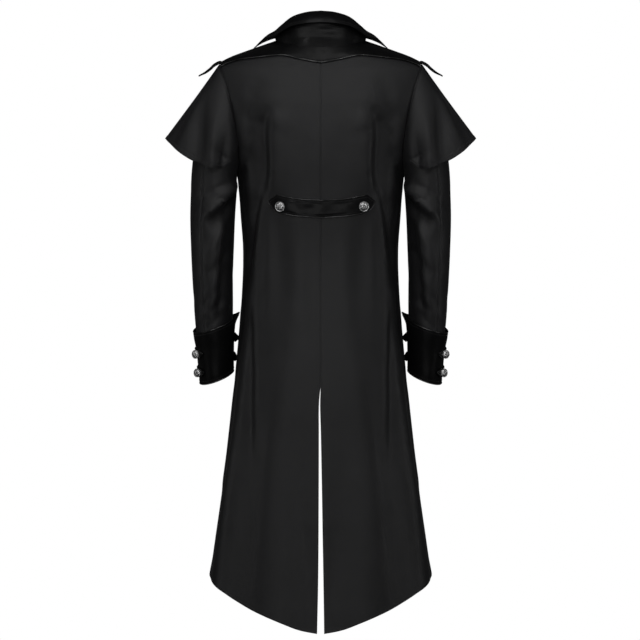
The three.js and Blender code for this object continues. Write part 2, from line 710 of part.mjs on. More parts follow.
const SLEEVE_GAP_DEG = 0.25;
const SLEEVE_STAGES = [0, 0.2, 0.4, 0.6, 0.8, 1, 1.1, 1.2, 1.3, 1.42, 1.55, 1.7, 1.85, 2];
function sleevePiece(fromTurn, toTurn) {
  const columns = Math.round((toTurn - fromTurn) / ARMHOLE_STEP);
  return wall(SLEEVE_STAGES.length - 1, columns, (i, j) => {
    const gap = j === 0 ? SLEEVE_GAP_DEG : j === columns ? -SLEEVE_GAP_DEG : 0;
    const turn = mix(fromTurn, toTurn, j / columns) + gap;
    const inside = i === 0 ? armholePoint(turn, -CLOTH) : sleeve(turn, SLEEVE_STAGES[i], -CLOTH);
    return [sleeve(turn, SLEEVE_STAGES[i]), inside];
  });
}

// The shoulder cape starts on the sleeve beside the armhole seam and stands away from the arm toward its hem.
const CAPE_ROOT_STAGE = 0.02;
function capeBase(turn, share) {
  const near = Math.abs(turn);
  const start = sleeve(turn, CAPE_ROOT_STAGE, CLOTH + SEAM);
  const y = read(CAPE_HEM, "turn", "y", near);
  const sign = turn < 0 ? -1 : 1;
  const x = read(CAPE_HEM, "turn", "x", near);
  const hem = new THREE.Vector3(x, sign * y, read(CAPE_HEM, "turn", "z", near));
  const upper = (1 + Math.cos(radians(turn))) / 2;
  const away = new THREE.Vector3(0.46 * upper + 0.1, 0.42 * Math.sin(radians(turn)), -0.3 - 0.5 * upper);
  const reach = start.distanceTo(hem);
  const first = start.clone().addScaledVector(away.normalize(), reach / 3);
  const second = hem.clone().lerp(first, 0.5);
  return new THREE.CubicBezierCurve3(start, first, second, hem).getPoint(share);
}

function cape(turn, share, out) {
  const normal = acrossOf(capeBase, turn, Math.max(share, 0.03), 1, 0.02).negate();
  let push = 0;
  for (const fold of CAPE_FOLDS) {
    push -= fold.depth * Math.exp(-(((Math.abs(turn) - fold.turn) / fold.width) ** 2));
  }
  return capeBase(turn, share).addScaledVector(normal, out + push * smoothstep(0.15, 1, share));
}

function shoulderCape() {
  const columns = 26;
  const rows = 6;
  return wall(rows, columns, (i, j) => {
    const turn = mix(-CAPE_END_TURN, CAPE_END_TURN, j / columns);
    return [cape(turn, i / rows, 0), cape(turn, i / rows, -CLOTH)];
  });
}

function shoulderTab() {
  const stations = 6;
  const across = 4;
  const surface = (along, side) => {
    const y = side * read(TAB, "along", "half_width", along);
    const drop = TAB_SIDE_DROP * (y / TAB[0].half_width) ** 2;
    const x = read(TAB, "along", "x", along);
    return new THREE.Vector3(x, y + TAB_SHIFT_Y, read(TAB, "along", "z", along) - drop);
  };
  return wall(stations, across, (i, j) => {
    const top = surface(i / stations, mix(-1, 1, j / across));
    return [top, top.clone().add(new THREE.Vector3(-1, 0, -2).setLength(TAB_THICKNESS))];
  });
}

// The cuff's outer face, flared at its top.
function cuffOut(z) {
  return CLOTH + SEAM + CUFF_FLARE * smoothstep(CUFF_TOP_Z - 45, CUFF_TOP_Z, z);
}

function cuff() {
  const rows = 4;
  const sides = 18;
  return wall(
    rows,
    sides,
    (i, j) => {
      const z = mix(CUFF_TOP_Z, CUFF_HEM_Z, i / rows);
      const turn = (360 * j) / sides;
      return [armPoint(turn, z, cuffOut(z) + LEATHER - SEAM), armPoint(turn, z, cuffOut(z) - SEAM)];
    },
    true,
  );
}

function cuffStrap({ z, tip_lift }) {
  const columns = 22;
  return wall(2, columns, (i, j) => {
    const share = j / columns;
    const turn = mix(STRAP_TIP_TURN, STRAP_END_TURN, share);
    const point = Math.min(share, 1 - share) / STRAP_POINT_SHARE;
    const half = STRAP_HALF_WIDTH * Math.min(1, 0.12 + point);
    const lift = tip_lift * (1 - smoothstep(0, STRAP_POINT_SHARE, share));
    const height = z + half * (1 - i);
    const under = cuffOut(height) + LEATHER + 0.35 + lift;
    return [armPoint(turn, height, under + STRAP_THICKNESS), armPoint(turn, height, under)];
  });
}

function button(radius) {
  const profile = BUTTON_PROFILE.map((row) => new THREE.Vector2(row.radius * radius, row.height * radius));
  return new THREE.LatheGeometry(profile, BUTTON_SIDES).rotateX(Math.PI / 2);
}

// Sets a button's back on a place, its dome along a direction.
function addButton(name, radius, place, direction) {
  const mesh = add(name, button(radius), silverMaterial());
  mesh.quaternion.setFromUnitVectors(new THREE.Vector3(0, 0, 1), direction);
  mesh.position.copy(place);
}

function halfBelt() {
  const columns = 20;
  const end = BELT[BELT.length - 1].x;
  return wall(2, columns, (i, j) => {
    const x = mix(-end, end, j / columns);
    const top = read(BELT, "x", "top", Math.abs(x));
    const z = mix(top, read(BELT, "x", "bottom", Math.abs(x)), i / 2);
    return onBody(aroundAt(x + BELT_MIDDLE_X, z), z, 2 * SEAM + BELT_THICKNESS, BELT_THICKNESS);
  });
}

add("back_left", backPanel("left_x"), clothMaterial());
add("back_right", mirrored(backPanel("right_x")), clothMaterial());
add("front_left", frontPanel(LAP), clothMaterial());
add("front_right", mirrored(frontPanel(0)), clothMaterial());
add("yoke", yoke(), leatherMaterial());
add("yoke_piping", yokePiping(), leatherMaterial());
add("collar_stand", collarStand(), leatherMaterial());
add("collar_leaf", collarLeaf(), leatherMaterial());
addPair("lapel", lapel(), clothMaterial);
addPair("sleeve_top", sleevePiece(SLEEVE_FORE_TURN, SLEEVE_HIND_TURN), clothMaterial);
addPair("sleeve_under", sleevePiece(SLEEVE_HIND_TURN, SLEEVE_FORE_TURN + 360), clothMaterial);
addPair("cape", shoulderCape(), clothMaterial);
addPair("tab", shoulderTab(), leatherMaterial);
addPair("cuff", cuff(), leatherMaterial);
for (const strap of STRAPS) addPair("cuff_strap_" + strap.name, cuffStrap(strap), leatherMaterial);
add("half_belt", halfBelt(), leatherMaterial());

const sides = [
  { name: "left", sign: 1 },
  { name: "right", sign: -1 },
];
for (const { name, sign } of sides) {
  for (const strap of STRAPS) {
    const under = cuffOut(strap.z) + LEATHER + STRAP_THICKNESS + 4 * SEAM;
    const place = armPoint(STRAP_BUTTON_TURN, strap.z, under);
    const direction = acrossOf(armPoint, STRAP_BUTTON_TURN, strap.z, 1, 2);
    place.x *= sign;
    direction.x *= sign;
    addButton(`cuff_button_${strap.name}_${name}`, CUFF_BUTTON_RADIUS, place, direction);
  }
  const x = BELT_MIDDLE_X + sign * BELT_BUTTON_X;
  const around = aroundAt(x, BELT_BUTTON_Z);
  const seat = body(around, BELT_BUTTON_Z, BELT_THICKNESS + 5 * SEAM);
  const out = body(around, BELT_BUTTON_Z, BELT_THICKNESS + 20).sub(seat).normalize();
  addButton(`belt_button_${name}`, BELT_BUTTON_RADIUS, seat, out);
}
for (let k = 0; k < FRONT_BUTTONS; k += 1) {
  const z = FRONT_BUTTON_TOP - k * FRONT_BUTTON_STEP;
  const seat = body(180, z, LAP + 2 * SEAM);
  const out = acrossOf(body, 180, z, 1, 8).negate();
  addButton(`front_button_${k + 1}`, FRONT_BUTTON_RADIUS, seat, out);
}

export default coat;
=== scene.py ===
"""The tailcoat's looks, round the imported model: cloth, coated leather, stitching, buttons and the studio."""

import math

import bpy
import numpy as np
from bpy.props import FloatProperty, FloatVectorProperty, IntProperty, PointerProperty
from mathutils import Matrix, Vector


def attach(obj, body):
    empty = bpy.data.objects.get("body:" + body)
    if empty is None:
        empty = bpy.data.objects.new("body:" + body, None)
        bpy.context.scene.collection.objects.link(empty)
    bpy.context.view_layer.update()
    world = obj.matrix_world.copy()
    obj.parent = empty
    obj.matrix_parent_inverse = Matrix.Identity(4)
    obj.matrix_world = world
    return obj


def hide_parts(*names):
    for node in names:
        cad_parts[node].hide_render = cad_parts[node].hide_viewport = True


bl_info = {
    "name": "Tailcoat",
    "version": (1, 0, 0),
    "blender": (4, 5, 0),
    "location": "View3D > Sidebar > Tailcoat",
    "description": "Makes the pieces of a filled-out tailcoat and the studio that it hangs in",
    "category": "Object",
}

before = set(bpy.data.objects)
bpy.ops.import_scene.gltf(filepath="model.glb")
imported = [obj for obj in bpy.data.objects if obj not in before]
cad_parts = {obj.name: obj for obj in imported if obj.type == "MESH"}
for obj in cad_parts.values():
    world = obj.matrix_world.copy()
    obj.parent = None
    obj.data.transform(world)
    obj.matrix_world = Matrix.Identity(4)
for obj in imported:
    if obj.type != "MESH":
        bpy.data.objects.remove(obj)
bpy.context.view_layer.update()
BODY_NAME = "root"
MM = 0.001
SIDES = (("left", 1), ("right", -1))
# The solids' gap at a seam and their walls, and how far the upper front lies over the lower one.
SEAM = 0.3
CLOTH = 2.0
LEATHER = 2.0
LAP = CLOTH + 3 * SEAM


# Tables of the garment's form, in millimetres and degrees


def table(columns, *rows):
    """Rows of numbers under named columns, in the order of the first column."""
    numbers = np.array(sorted(rows), float)
    return {name: numbers[:, k] for k, name in enumerate(columns.split())}


BODY = table(
    "z side back front shift",
    (14, 62, 46, 44, 7), (0, 92, 57, 54, 7), (-8, 115, 63, 60, 7), (-20, 149, 72, 68, 6),
    (-33, 184, 80, 76, 6), (-45, 206, 87, 83, 5), (-61, 217, 94, 91, 5), (-94, 222, 104, 103, 4),
    (-133, 222, 112, 112, 2), (-189, 209, 116, 119, 0), (-230, 190, 115, 120, -1),
    (-268, 174, 112, 118, -2), (-303, 169, 108, 114, -3), (-361, 165, 101, 107, -4),
    (-426, 160, 97, 103, -5), (-492, 160.5, 99, 106, -4), (-590, 167.5, 108, 115, -2),
    (-689, 176, 118, 125, 0), (-832, 192.5, 130, 137, 3), (-1004, 216.5, 143, 149, 6),
    (-1100, 230, 150, 156, 8), (-1230, 249, 160, 166, 10),
)
SECTION_POWER = 2.3
BODY_MM_PER_DEG = 2.6
FOLD_COLUMNS = "from_deg from_z to_deg to_z width depth"
# Soft folds, each along a line; depth is inward.
BODY_FOLDS = table(
    FOLD_COLUMNS,
    (25, -150, 48, -330, 16, 5), (48, -330, 68, -500, 16, 5), (48, -350, 54, -640, 22, -3),
    (54, -600, 43, -860, 18, 4), (30, -700, 27, -1230, 34, -6), (10, -800, 12, -1230, 26, 5),
    (47, -800, 46, -1200, 30, 7), (66, -640, 65, -1180, 34, -6), (80, -560, 82, -1100, 24, 5),
    (106, -300, 122, -520, 20, 5),
)
# Finer folds of the cloth, which the solids leave out.
FINE_FOLDS = table(
    FOLD_COLUMNS,
    (20, -95, 24, -205, 26, -3.2), (8, -150, 14, -300, 18, 1.6), (33, -90, 44, -190, 14, 2.2),
    (41, -120, 50, -215, 12, -1.8), (13, -215, 20, -318, 16, -1.4), (3, -270, 7, -322, 12, 1.1),
    (35, -372, 40, -560, 12, -2.2), (27, -380, 25, -640, 18, 2.0), (14, -385, 12, -560, 20, -2.6),
    (5, -400, 4, -690, 16, 1.6), (20, -560, 21, -780, 22, -2.2), (38, -650, 36, -900, 16, 2.4),
    (60, -520, 61, -760, 12, -2.4), (72, -470, 75, -640, 12, 2.6), (16, -900, 18, -1190, 16, -2.6),
    (5, -1010, 3, -1200, 12, 3.4), (37, -930, 39, -1180, 14, 2.2), (57, -850, 55, -1130, 15, 2.8),
    (88, -330, 84, -460, 12, 3.0), (74, -290, 66, -380, 10, 2.6), (60, -250, 75, -300, 10, 2.4),
    (98, -560, 97, -900, 18, -3.0), (112, -420, 104, -700, 18, 2.6), (140, -200, 128, -300, 18, 3.0),
    (150, -300, 138, -420, 16, -2.6), (163, -330, 160, -450, 12, 2.4), (120, -180, 112, -280, 14, 2.6),
    (90, -700, 90, -1060, 20, 2.8), (128, -560, 118, -760, 12, -2.6),
)
# Creases: past the line the cloth stands back by depth, over a reach, and before it rises to a crest.
CREASE_COLUMNS = "from_deg from_z to_deg to_z width depth reach crest"
BODY_CREASES = table(
    CREASE_COLUMNS,
    (24, -130, 41, -335, 7, 8, 75, 4), (64, -245, 24, -142, 9, 4.5, 60, 1.4),
    (42, -310, 67, -475, 8, 8, 40, 2), (57, -520, 43, -880, 10, 7.5, 50, 2),
    (34, -345, 41, -520, 8, -3, 16, 0),
)
SLEEVE_CREASES = table(
    CREASE_COLUMNS,
    (168, -300, 66, -374, 7, 8, 26, 5), (131, -330, 97, -590, 10, 8, 44, 1.5),
    (150, -316, 82, -324, 4, 5, 10, 1.5), (118, -440, 70, -480, 8, 2.5, 20, 1.2),
    (126, -520, 74, -560, 7, 2.2, 16, 1.2),
)
NECKLINE = table(
    "around z",
    (0, -15), (18, -12.5), (40, -6), (65, -2), (90, 0), (115, -3), (137.5, -10), (150, -19),
    (158.6, -30), (164, -46), (167.5, -66), (171.6, -104), (175, -144), (179.5, -175), (184.3, -190),
)
FRONT_EDGE = table(
    "z around",
    (-190, 184.3), (-290, 184.3), (-420, 184), (-455, 180), (-500, 171), (-580, 157), (-680, 142),
    (-800, 126), (-940, 110), (-1090, 97),
)
BREAK_Z = -190
ARMHOLE = {"middle": -156, "half": 112, "back_deg": 37, "front_deg": 39, "power": 0.9}
# How far the sewn panels lap, so that no light shows through a seam.
ARMHOLE_LAP = 0.9
SIDE_LAP_DEG = 0.12
SLEEVE_LAP_DEG = 0.3
YOKE_BACK_TURN = 25.6
YOKE_FRONT_TURN = 40
YOKE_BACK_SHARE = 0.75
YOKE_EDGE = table("around z", (0, -47), (9, -40), (22.7, -32), (43.7, -37.5), (54.2, -41), (72.6, -55))
YOKE_NECK_Z = -30
YOKE_NECK = table("share around", (0, 0), (0.3, 20), (0.55, 46), (0.75, 76), (0.87, 108), (1, 158.6))
HEM_SIDE_Z = -1097
HEM = table(
    "around z",
    (0, -1213.6), (7.5, -1206), (15, -1194), (30, -1170), (45, -1147), (60, -1126), (75, -1107),
    (90, HEM_SIDE_Z), (97, -1090),
)
VENT_TOP = -709
VENT = table(
    "z left right",
    (-709, 0.15, 0.15), (-746, 3.4, -1.2), (-803, 3.6, 0.3), (-890, 3.8, 2), (-1033, 4.4, 4.4),
    (-1119, 5.3, 5.9), (-1214, 7.3, 7.2),
)
COLLAR = table(
    "around roll_x roll_y roll_z edge_x edge_y edge_z arch",
    (0, 0, 68, 58.5, 0, 90, 36, 6), (11, 28, 67, 56, 30, 89, 34, 6), (24, 57, 60, 47.5, 60, 82, 28, 6),
    (44, 80, 42, 31, 82, 66, 16, 6), (70, 92, 14, 21, 97, 40, 6, 7), (95, 98, -12, 15.5, 112, 16, 4, 9),
    (112, 96, -34, 12.5, 127, -10, -5, 12), (126, 90, -54, 8, 139.5, -38, -15.5, 16),
)
STAND_ROLL = table(
    "around roll_x roll_y roll_z",
    *zip(*(COLLAR[name] for name in ("around", "roll_x", "roll_y", "roll_z"))),
    (138, 85, -62, -4), (150, 79, -68, -18),
)
LAPEL = table(
    "around roll_x roll_y roll_z edge_x edge_y edge_z",
    (151.5, 79, -72, -24, 146, -80, -46), (161, 74, -88, -44, 146, -94, -76),
    (167.5, 60, -104, -78, 126, -110, -110), (171.6, 45, -114, -110, 96, -121, -142),
    (174.6, 30, -120, -142, 61, -128, -168), (177.2, 16, -124, -168, 26, -131, -188),
)
LAPEL_ARCH = 4
STAND_SPREAD = table("share around", (0, 0), (0.22, 22), (0.44, 48), (0.63, 82), (0.8, 117), (1, 150))
LEAF_SPREAD = table("share around", (0, 0), (0.22, 18), (0.45, 42), (0.7, 78), (1, 126))
LAPEL_SPREAD = table("share around", (0, 151.5), (0.3, 165), (0.65, 172.2), (1, 177.2))
ROLL_GAP = 3.4
SLEEVE = table(
    "z outer inner middle half",
    (-303, 266.5, 171.5, 4, 66), (-361, 268, 175.5, 8, 62), (-426, 266.3, 178, 11, 58),
    (-492, 263, 180, 6, 55), (-558, 258.5, 180, -3, 52), (-592, 255, 180.5, -8, 51),
    (-625, 251, 181.5, -14, 50), (-660, 247.5, 182, -21, 49), (-700, 244.5, 182.5, -28, 48),
)
SLEEVE_TOP_Z = -303
SLEEVE_END_Z = -606
SLEEVE_HIND_TURN = 60
SLEEVE_FORE_TURN = -120
FOREARM_DROP_X = 0.36
FOREARM_DROP_Y = 0.2
SLEEVE_FOLDS = table(
    FOLD_COLUMNS,
    (165, -300, 62, -372, 13, -5), (160, -320, 75, -410, 14, 4), (120, -296, 64, -322, 9, 4),
    (150, -400, 100, -560, 16, 3), (-150, -440, -60, -470, 14, 5), (-160, -480, -70, -500, 13, 4),
)
SLEEVE_FINE_FOLDS = table(
    FOLD_COLUMNS,
    (150, -338, 66, -346, 9, 2.6), (150, -352, 84, -432, 8, -2.2), (172, -420, 118, -455, 10, 2.4),
    (128, -455, 88, -520, 12, -2.4), (104, -505, 62, -545, 9, 2.4), (140, -545, 80, -562, 8, -1.8),
    (56, -325, 20, -350, 10, 2.2), (40, -500, 8, -530, 12, 2.2), (58, -560, 20, -585, 9, -1.8),
    (-40, -380, -100, -430, 12, 2.4), (-60, -520, -130, -545, 11, 2.6), (178, -530, 130, -590, 9, 2),
    (-20, -300, -80, -340, 12, -2.4), (98, -575, 66, -592, 6, 1.6),
)
HEAD_STRETCH = 0.85
CAPE_END_TURN = 122
CAPE_ROOT_STAGE = 0.02
CAPE_HEM = table(
    "turn x y z",
    (0, 319.5, 2, -201), (18, 313, 30, -209), (36, 296, 55, -225), (54, 270, 74, -243),
    (72, 243, 86, -255), (90, 217, 89, -264), (108, 198, 84, -264), (122, 185, 76, -254),
)
# Each fold runs from a turn at the top of the cape to one at its hem.
CAPE_FOLDS = table(
    "top_turn hem_turn width depth",
    (12, 24, 10, 3.5), (22, 42, 9, -2), (34, 64, 12, 10), (62, 83, 9, -4), (92, 105, 12, 9),
)
TAB = table(
    "along x z half_width",
    (0, 200.5, -43.2, 23), (0.14, 208, -41.4, 23), (0.28, 219, -46.9, 23), (0.5, 227.5, -54.9, 22),
    (0.75, 238.5, -63.9, 16), (1, 251.5, -71.9, 2),
)
TAB_SHIFT_Y = 3
TAB_SIDE_DROP = 4
CUFF_TOP_Z = -582
CUFF_HEM_Z = -690
CUFF_FLARE = 2
CUFF_CORNER_TURN = 182
CUFF_CORNER_OUT = 7.5
CUFF_CORNER_RISE = 5
CUFF_BUTTON_LEAN = (0, 0.9, 0.05)
CUFF_BUTTON_LIFT = 2.5
STRAP_HALF_WIDTH = 8.5
# Each strap's name, its height and how far its tip stands away.
STRAPS = (("upper", -626, 7), ("lower", -665, 4))
STRAP_TIP_TURN = -190
STRAP_BUTTON_TURN = 22
STRAP_END_TURN = 50
STRAP_POINT_SHARE = 0.08
BELT = table(
    "x top bottom",
    (0, -329, -364.5), (45, -326.3, -361.5), (78, -320.8, -356.3), (91, -318, -352), (100, -324, -346),
    (108.5, -331.2, -334.2),
)
BELT_MIDDLE_X = -2.5
BELT_THICKNESS = 3
BELT_BUTTON_X = 84.5
BELT_BUTTON_Z = -341
FRONT_BUTTONS = 4
FRONT_BUTTON_TOP = -215
FRONT_BUTTON_STEP = 62
STAND_FOOT_DROP = 1.2
STAND_FOOT_DRAW = 0.012
# The walls of the pieces that are padded or laid double.
TAB_WALL = 2.6
STRAP_WALL = 1.6
BELT_WALL = 2.2
# The radii of the cords and bindings.
YOKE_CORD = 1.5
CUFF_CORD = 1.3
STRAP_CORD = 0.75
BELT_CORD = 0.95
YOKE_CORD_OUT = 0.9
CUFF_CORD_IN = 0.6
STRAP_OUT = 1.7
# How far in from the edge each row of stitches runs.
EDGE_INSET = 6
YOKE_INSET = 5
SLEEVE_INSET = 3.4
CAPE_INSET = 7.2
TAB_INSET = 3.4
CUFF_TOP_INSET = 5
STRAP_INSET = 2.6
BELT_INSET = 4.2


# The garment's surfaces


def mix(a, b, share):
    return a + (b - a) * share


def smoothstep(low, high, value):
    t = np.clip((value - low) / (high - low), 0, 1)
    return t * t * (3 - 2 * t)


def read(rows, key, column, at):
    """A column of a table at a key, along a smooth curve through its rows."""
    x, y = rows[key], rows[column]
    last = len(x) - 1
    at = np.clip(np.asarray(at, float), x[0], x[last])
    i = np.clip(np.searchsorted(x, at, side="left") - 1, 0, last - 1)
    ahead = np.minimum(np.arange(last + 1) + 1, last)
    behind = np.maximum(np.arange(last + 1) - 1, 0)
    slope = (y[ahead] - y[behind]) / (x[ahead] - x[behind])
    span = x[i + 1] - x[i]
    t = (at - x[i]) / span
    start, end = y[i], y[i + 1]
    curve = t * t * (3 - 2 * t)
    leave = t * (1 - t) ** 2 * slope[i] * span
    arrive = t * t * (t - 1) * slope[i + 1] * span
    return start + (end - start) * curve + leave + arrive


def xyz(x, y, z):
    return np.stack(np.broadcast_arrays(x, y, z), axis=-1).astype(float)


def unit(v):
    return v / np.maximum(np.linalg.norm(v, axis=-1, keepdims=True), 1e-12)


def rows_of(rows):
    names = list(rows)
    return [dict(zip(names, values)) for values in zip(*(rows[name] for name in names))]


def along_fold(fold, degrees, z, mm_per_deg):
    """How far along a fold's line a place lies, from 0 to 1, its way from the line's start, and the run."""
    run = np.array([(fold["to_deg"] - fold["from_deg"]) * mm_per_deg, fold["to_z"] - fold["from_z"]])
    away_x = (degrees - fold["from_deg"]) * mm_per_deg
    away_z = z - fold["from_z"]
    share = np.clip((away_x * run[0] + away_z * run[1]) / run.dot(run), 0, 1)
    return share, away_x, away_z, run


def fold_push(folds, degrees, z, mm_per_deg):
    push = 0.0
    for fold in rows_of(folds):
        share, away_x, away_z, run = along_fold(fold, degrees, z, mm_per_deg)
        away = np.hypot(away_x - share * run[0], away_z - share * run[1])
        fade = 0.35 + 0.65 * np.sin(math.pi * np.clip(share, 0.08, 0.85))
        push = push - fold["depth"] * fade * np.exp(-((away / fold["width"]) ** 2))
    return push


CREST_REACH = 28
CREASE_END_REACH = 20


def crease_push(creases, degrees, z, mm_per_deg):
    push = 0.0
    for crease in rows_of(creases):
        share, away_x, away_z, run = along_fold(crease, degrees, z, mm_per_deg)
        length = math.hypot(*run)
        across = (-run[1] * away_x + run[0] * away_z) / length
        beyond = np.hypot(away_x - share * run[0], away_z - share * run[1]) - np.abs(across)
        step = 0.5 * (1 + np.tanh(across / crease["width"]))
        settle = np.exp(-((np.maximum(across, 0) / crease["reach"]) ** 2))
        crest = np.exp(-((np.minimum(across, 0) / CREST_REACH) ** 2)) * (1 - step) * 2
        ends = smoothstep(0, 0.22, share) * smoothstep(1, 0.75, share)
        ends = ends * np.exp(-((beyond / CREASE_END_REACH) ** 2))
        push = push + (crease["crest"] * crest - crease["depth"] * step * settle) * ends
    return push


def rounded(value):
    return np.sign(value) * np.abs(value) ** (2 / SECTION_POWER)


def body_base(around, z):
    turn = np.radians(around)
    cosine = np.cos(turn)
    depth = np.where(cosine > 0, read(BODY, "z", "back", z), read(BODY, "z", "front", z))
    x = read(BODY, "z", "side", z) * rounded(np.sin(turn))
    return xyz(x, read(BODY, "z", "shift", z) + depth * rounded(cosine), z)


def across_of(surface, a, b, step_a, step_b):
    along_a = surface(a + step_a, b) - surface(a - step_a, b)
    along_b = surface(a, b + step_b) - surface(a, b - step_b)
    return unit(np.cross(along_a, along_b))


def body(around, z, out=0.0, fine=1.0):
    """The coat's body, degrees round from the middle of the back, with its folds, moved out."""
    around, z = np.broadcast_arrays(np.asarray(around, float), np.asarray(z, float))
    normal = -across_of(body_base, around, z, 0.5, 1.5)
    near = np.clip(np.abs(around), 0, 180)
    push = fold_push(BODY_FOLDS, near, z, BODY_MM_PER_DEG)
    if np.any(fine):
        belt = smoothstep(48, 36, near) * np.exp(-(((z - BELT_BUTTON_Z) / 36) ** 2))
        small = fold_push(FINE_FOLDS, near, z, BODY_MM_PER_DEG)
        small = small + crease_push(BODY_CREASES, near, z, BODY_MM_PER_DEG)
        sway = np.sin(near / 7.3 + z / 260) * np.sin(z / 83 + near / 31)
        small = small + 0.7 * sway * smoothstep(-380, -620, z)
        push = push + fine * small * (1 - belt)
    return body_base(around, z) + normal * np.expand_dims(out + push, -1)


def around_at(x, z):
    share = np.minimum(1, np.abs(x) / read(BODY, "z", "side", z))
    return np.sign(x) * np.degrees(np.arcsin(share ** (SECTION_POWER / 2)))


def neck_z(around):
    return read(NECKLINE, "around", "z", np.abs(around))


def armhole_place(turn):
    sine = np.sin(np.radians(turn))
    reach = np.where(sine > 0, -ARMHOLE["back_deg"], ARMHOLE["front_deg"])
    cut = np.abs(sine) ** ARMHOLE["power"] * reach
    return 90 + cut, ARMHOLE["middle"] + ARMHOLE["half"] * np.cos(np.radians(turn))


def side_edge(first_turn, sign, down):
    """The side edge of a panel: down the armhole from 0 to 1, and down the side seam from 1 to 2."""
    around, z = armhole_place(sign * mix(first_turn, 180.0, np.clip(down, 0, 1)))
    low = armhole_place(180.0)[1]
    under = np.clip(down - 1, 0, 1)
    return np.where(down > 1, 90.0, around), np.where(down > 1, mix(low, HEM_SIDE_Z, under), z)


def back_place(u, v, vent):
    down = 2 * v
    around, z_side = side_edge(YOKE_BACK_TURN, 1, down)
    first_around, first_z = armhole_place(YOKE_BACK_TURN)
    top = read(YOKE_EDGE, "around", "z", u * first_around) - SEAM
    rise = (top - first_z) * (1 - smoothstep(0, 1, down))
    fall = (read(HEM, "around", "z", u * 90) - HEM_SIDE_Z) * smoothstep(1, 2, down)
    z = z_side + rise + fall
    edge = np.where(z < VENT_TOP, read(VENT, "z", vent, z), -SEAM)
    fine = 1 - smoothstep(0.78, 1, u) * smoothstep(1.2, 0.9, down)
    return body(mix(around_at(edge, z), around + SIDE_LAP_DEG, u), z, 0, fine * smoothstep(0, 0.05, v))


FRONT_NECK = table(
    "z around", *((row["z"], row["around"]) for row in rows_of(NECKLINE) if row["around"] >= 90)
)


def front_edge_around(z):
    return np.where(z < BREAK_Z, read(FRONT_EDGE, "z", "around", z), read(FRONT_NECK, "z", "around", z))


def lap_share(around, z):
    return smoothstep(158, 172, around) * smoothstep(-90, -140, z)


def front_place(u, v, lap):
    down = 2 * v
    corner = read(HEM, "around", "z", 97) - HEM_SIDE_Z
    around, z_side = side_edge(YOKE_FRONT_TURN, -1, down)
    first_z = armhole_place(-YOKE_FRONT_TURN)[1]
    rise = (YOKE_NECK_Z - first_z) * (1 - smoothstep(0, 1, down))
    seam = SEAM * (1 - smoothstep(0, 0.05, v))
    edge_z = z_side + rise + corner * smoothstep(1, 2, down) - seam
    z = mix(z_side - seam, edge_z, u)
    place = mix(around - SIDE_LAP_DEG, front_edge_around(edge_z), u)
    fine = 1 - smoothstep(0.22, 0, u) * smoothstep(1.2, 0.9, down)
    return body(place, z, lap * lap_share(place, z), fine * smoothstep(0, 0.05, v))


def yoke_place(u, v):
    step = np.abs(2 * u - 1)
    sign = np.where(u < 0.5, -1, 1)
    back_end = armhole_place(YOKE_BACK_TURN)[0]
    behind = np.clip(step / YOKE_BACK_SHARE, 0, 1) * back_end
    on_armhole = np.clip((step - YOKE_BACK_SHARE) / (1 - YOKE_BACK_SHARE), 0, 1)
    hole_around, hole_z = armhole_place(mix(YOKE_BACK_TURN, -YOKE_FRONT_TURN, on_armhole))
    outer = np.where(step <= YOKE_BACK_SHARE, behind, hole_around)
    outer_z = np.where(step <= YOKE_BACK_SHARE, read(YOKE_EDGE, "around", "z", behind), hole_z)
    neck = read(YOKE_NECK, "share", "around", step)
    return body(sign * mix(neck, outer, v), mix(neck_z(neck), outer_z, v), 0, 0)


def line_of(rows, around, kind):
    near = np.abs(around)
    x = np.where(around < 0, -1, 1) * read(rows, "around", kind + "_x", near)
    return xyz(x, read(rows, "around", kind + "_y", near), read(rows, "around", kind + "_z", near))


def neck_point(around):
    z = neck_z(around)
    return body(around, z, 1 + LAP * lap_share(np.abs(around), z), 0)


def bezier2(a, b, c, t):
    t = np.expand_dims(t, -1)
    return (1 - t) ** 2 * a + 2 * t * (1 - t) * b + t * t * c


def bezier3(a, b, c, d, t):
    t = np.expand_dims(t, -1)
    return (1 - t) ** 3 * a + 3 * t * (1 - t) ** 2 * b + 3 * t * t * (1 - t) * c + t**3 * d


def stand_surface(around, share):
    base = neck_point(around)
    roll = line_of(STAND_ROLL, around, "roll")
    length = np.linalg.norm(base - roll, axis=-1, keepdims=True)
    top = mix(base, roll, 1 - ROLL_GAP / length)
    upright = base.copy()
    upright[..., 2] = mix(base[..., 2], top[..., 2], 0.6)
    return bezier2(base, mix(upright, top, 0.25), top, share)


def arched(roll, edge, neck, arch):
    across = edge - roll
    away = roll - neck
    along = np.sum(away * across, axis=-1, keepdims=True) / np.sum(across * across, axis=-1, keepdims=True)
    up = unit(away - across * along)
    return roll + across * 0.45 + up * np.expand_dims(arch, -1)


def leaf_surface(around, share):
    roll = line_of(COLLAR, around, "roll")
    edge = line_of(COLLAR, around, "edge")
    arch = read(COLLAR, "around", "arch", np.abs(around))
    start = roll - unit(edge - roll) * CLOTH
    return bezier2(start, arched(roll, edge, neck_point(around), arch), edge, share)


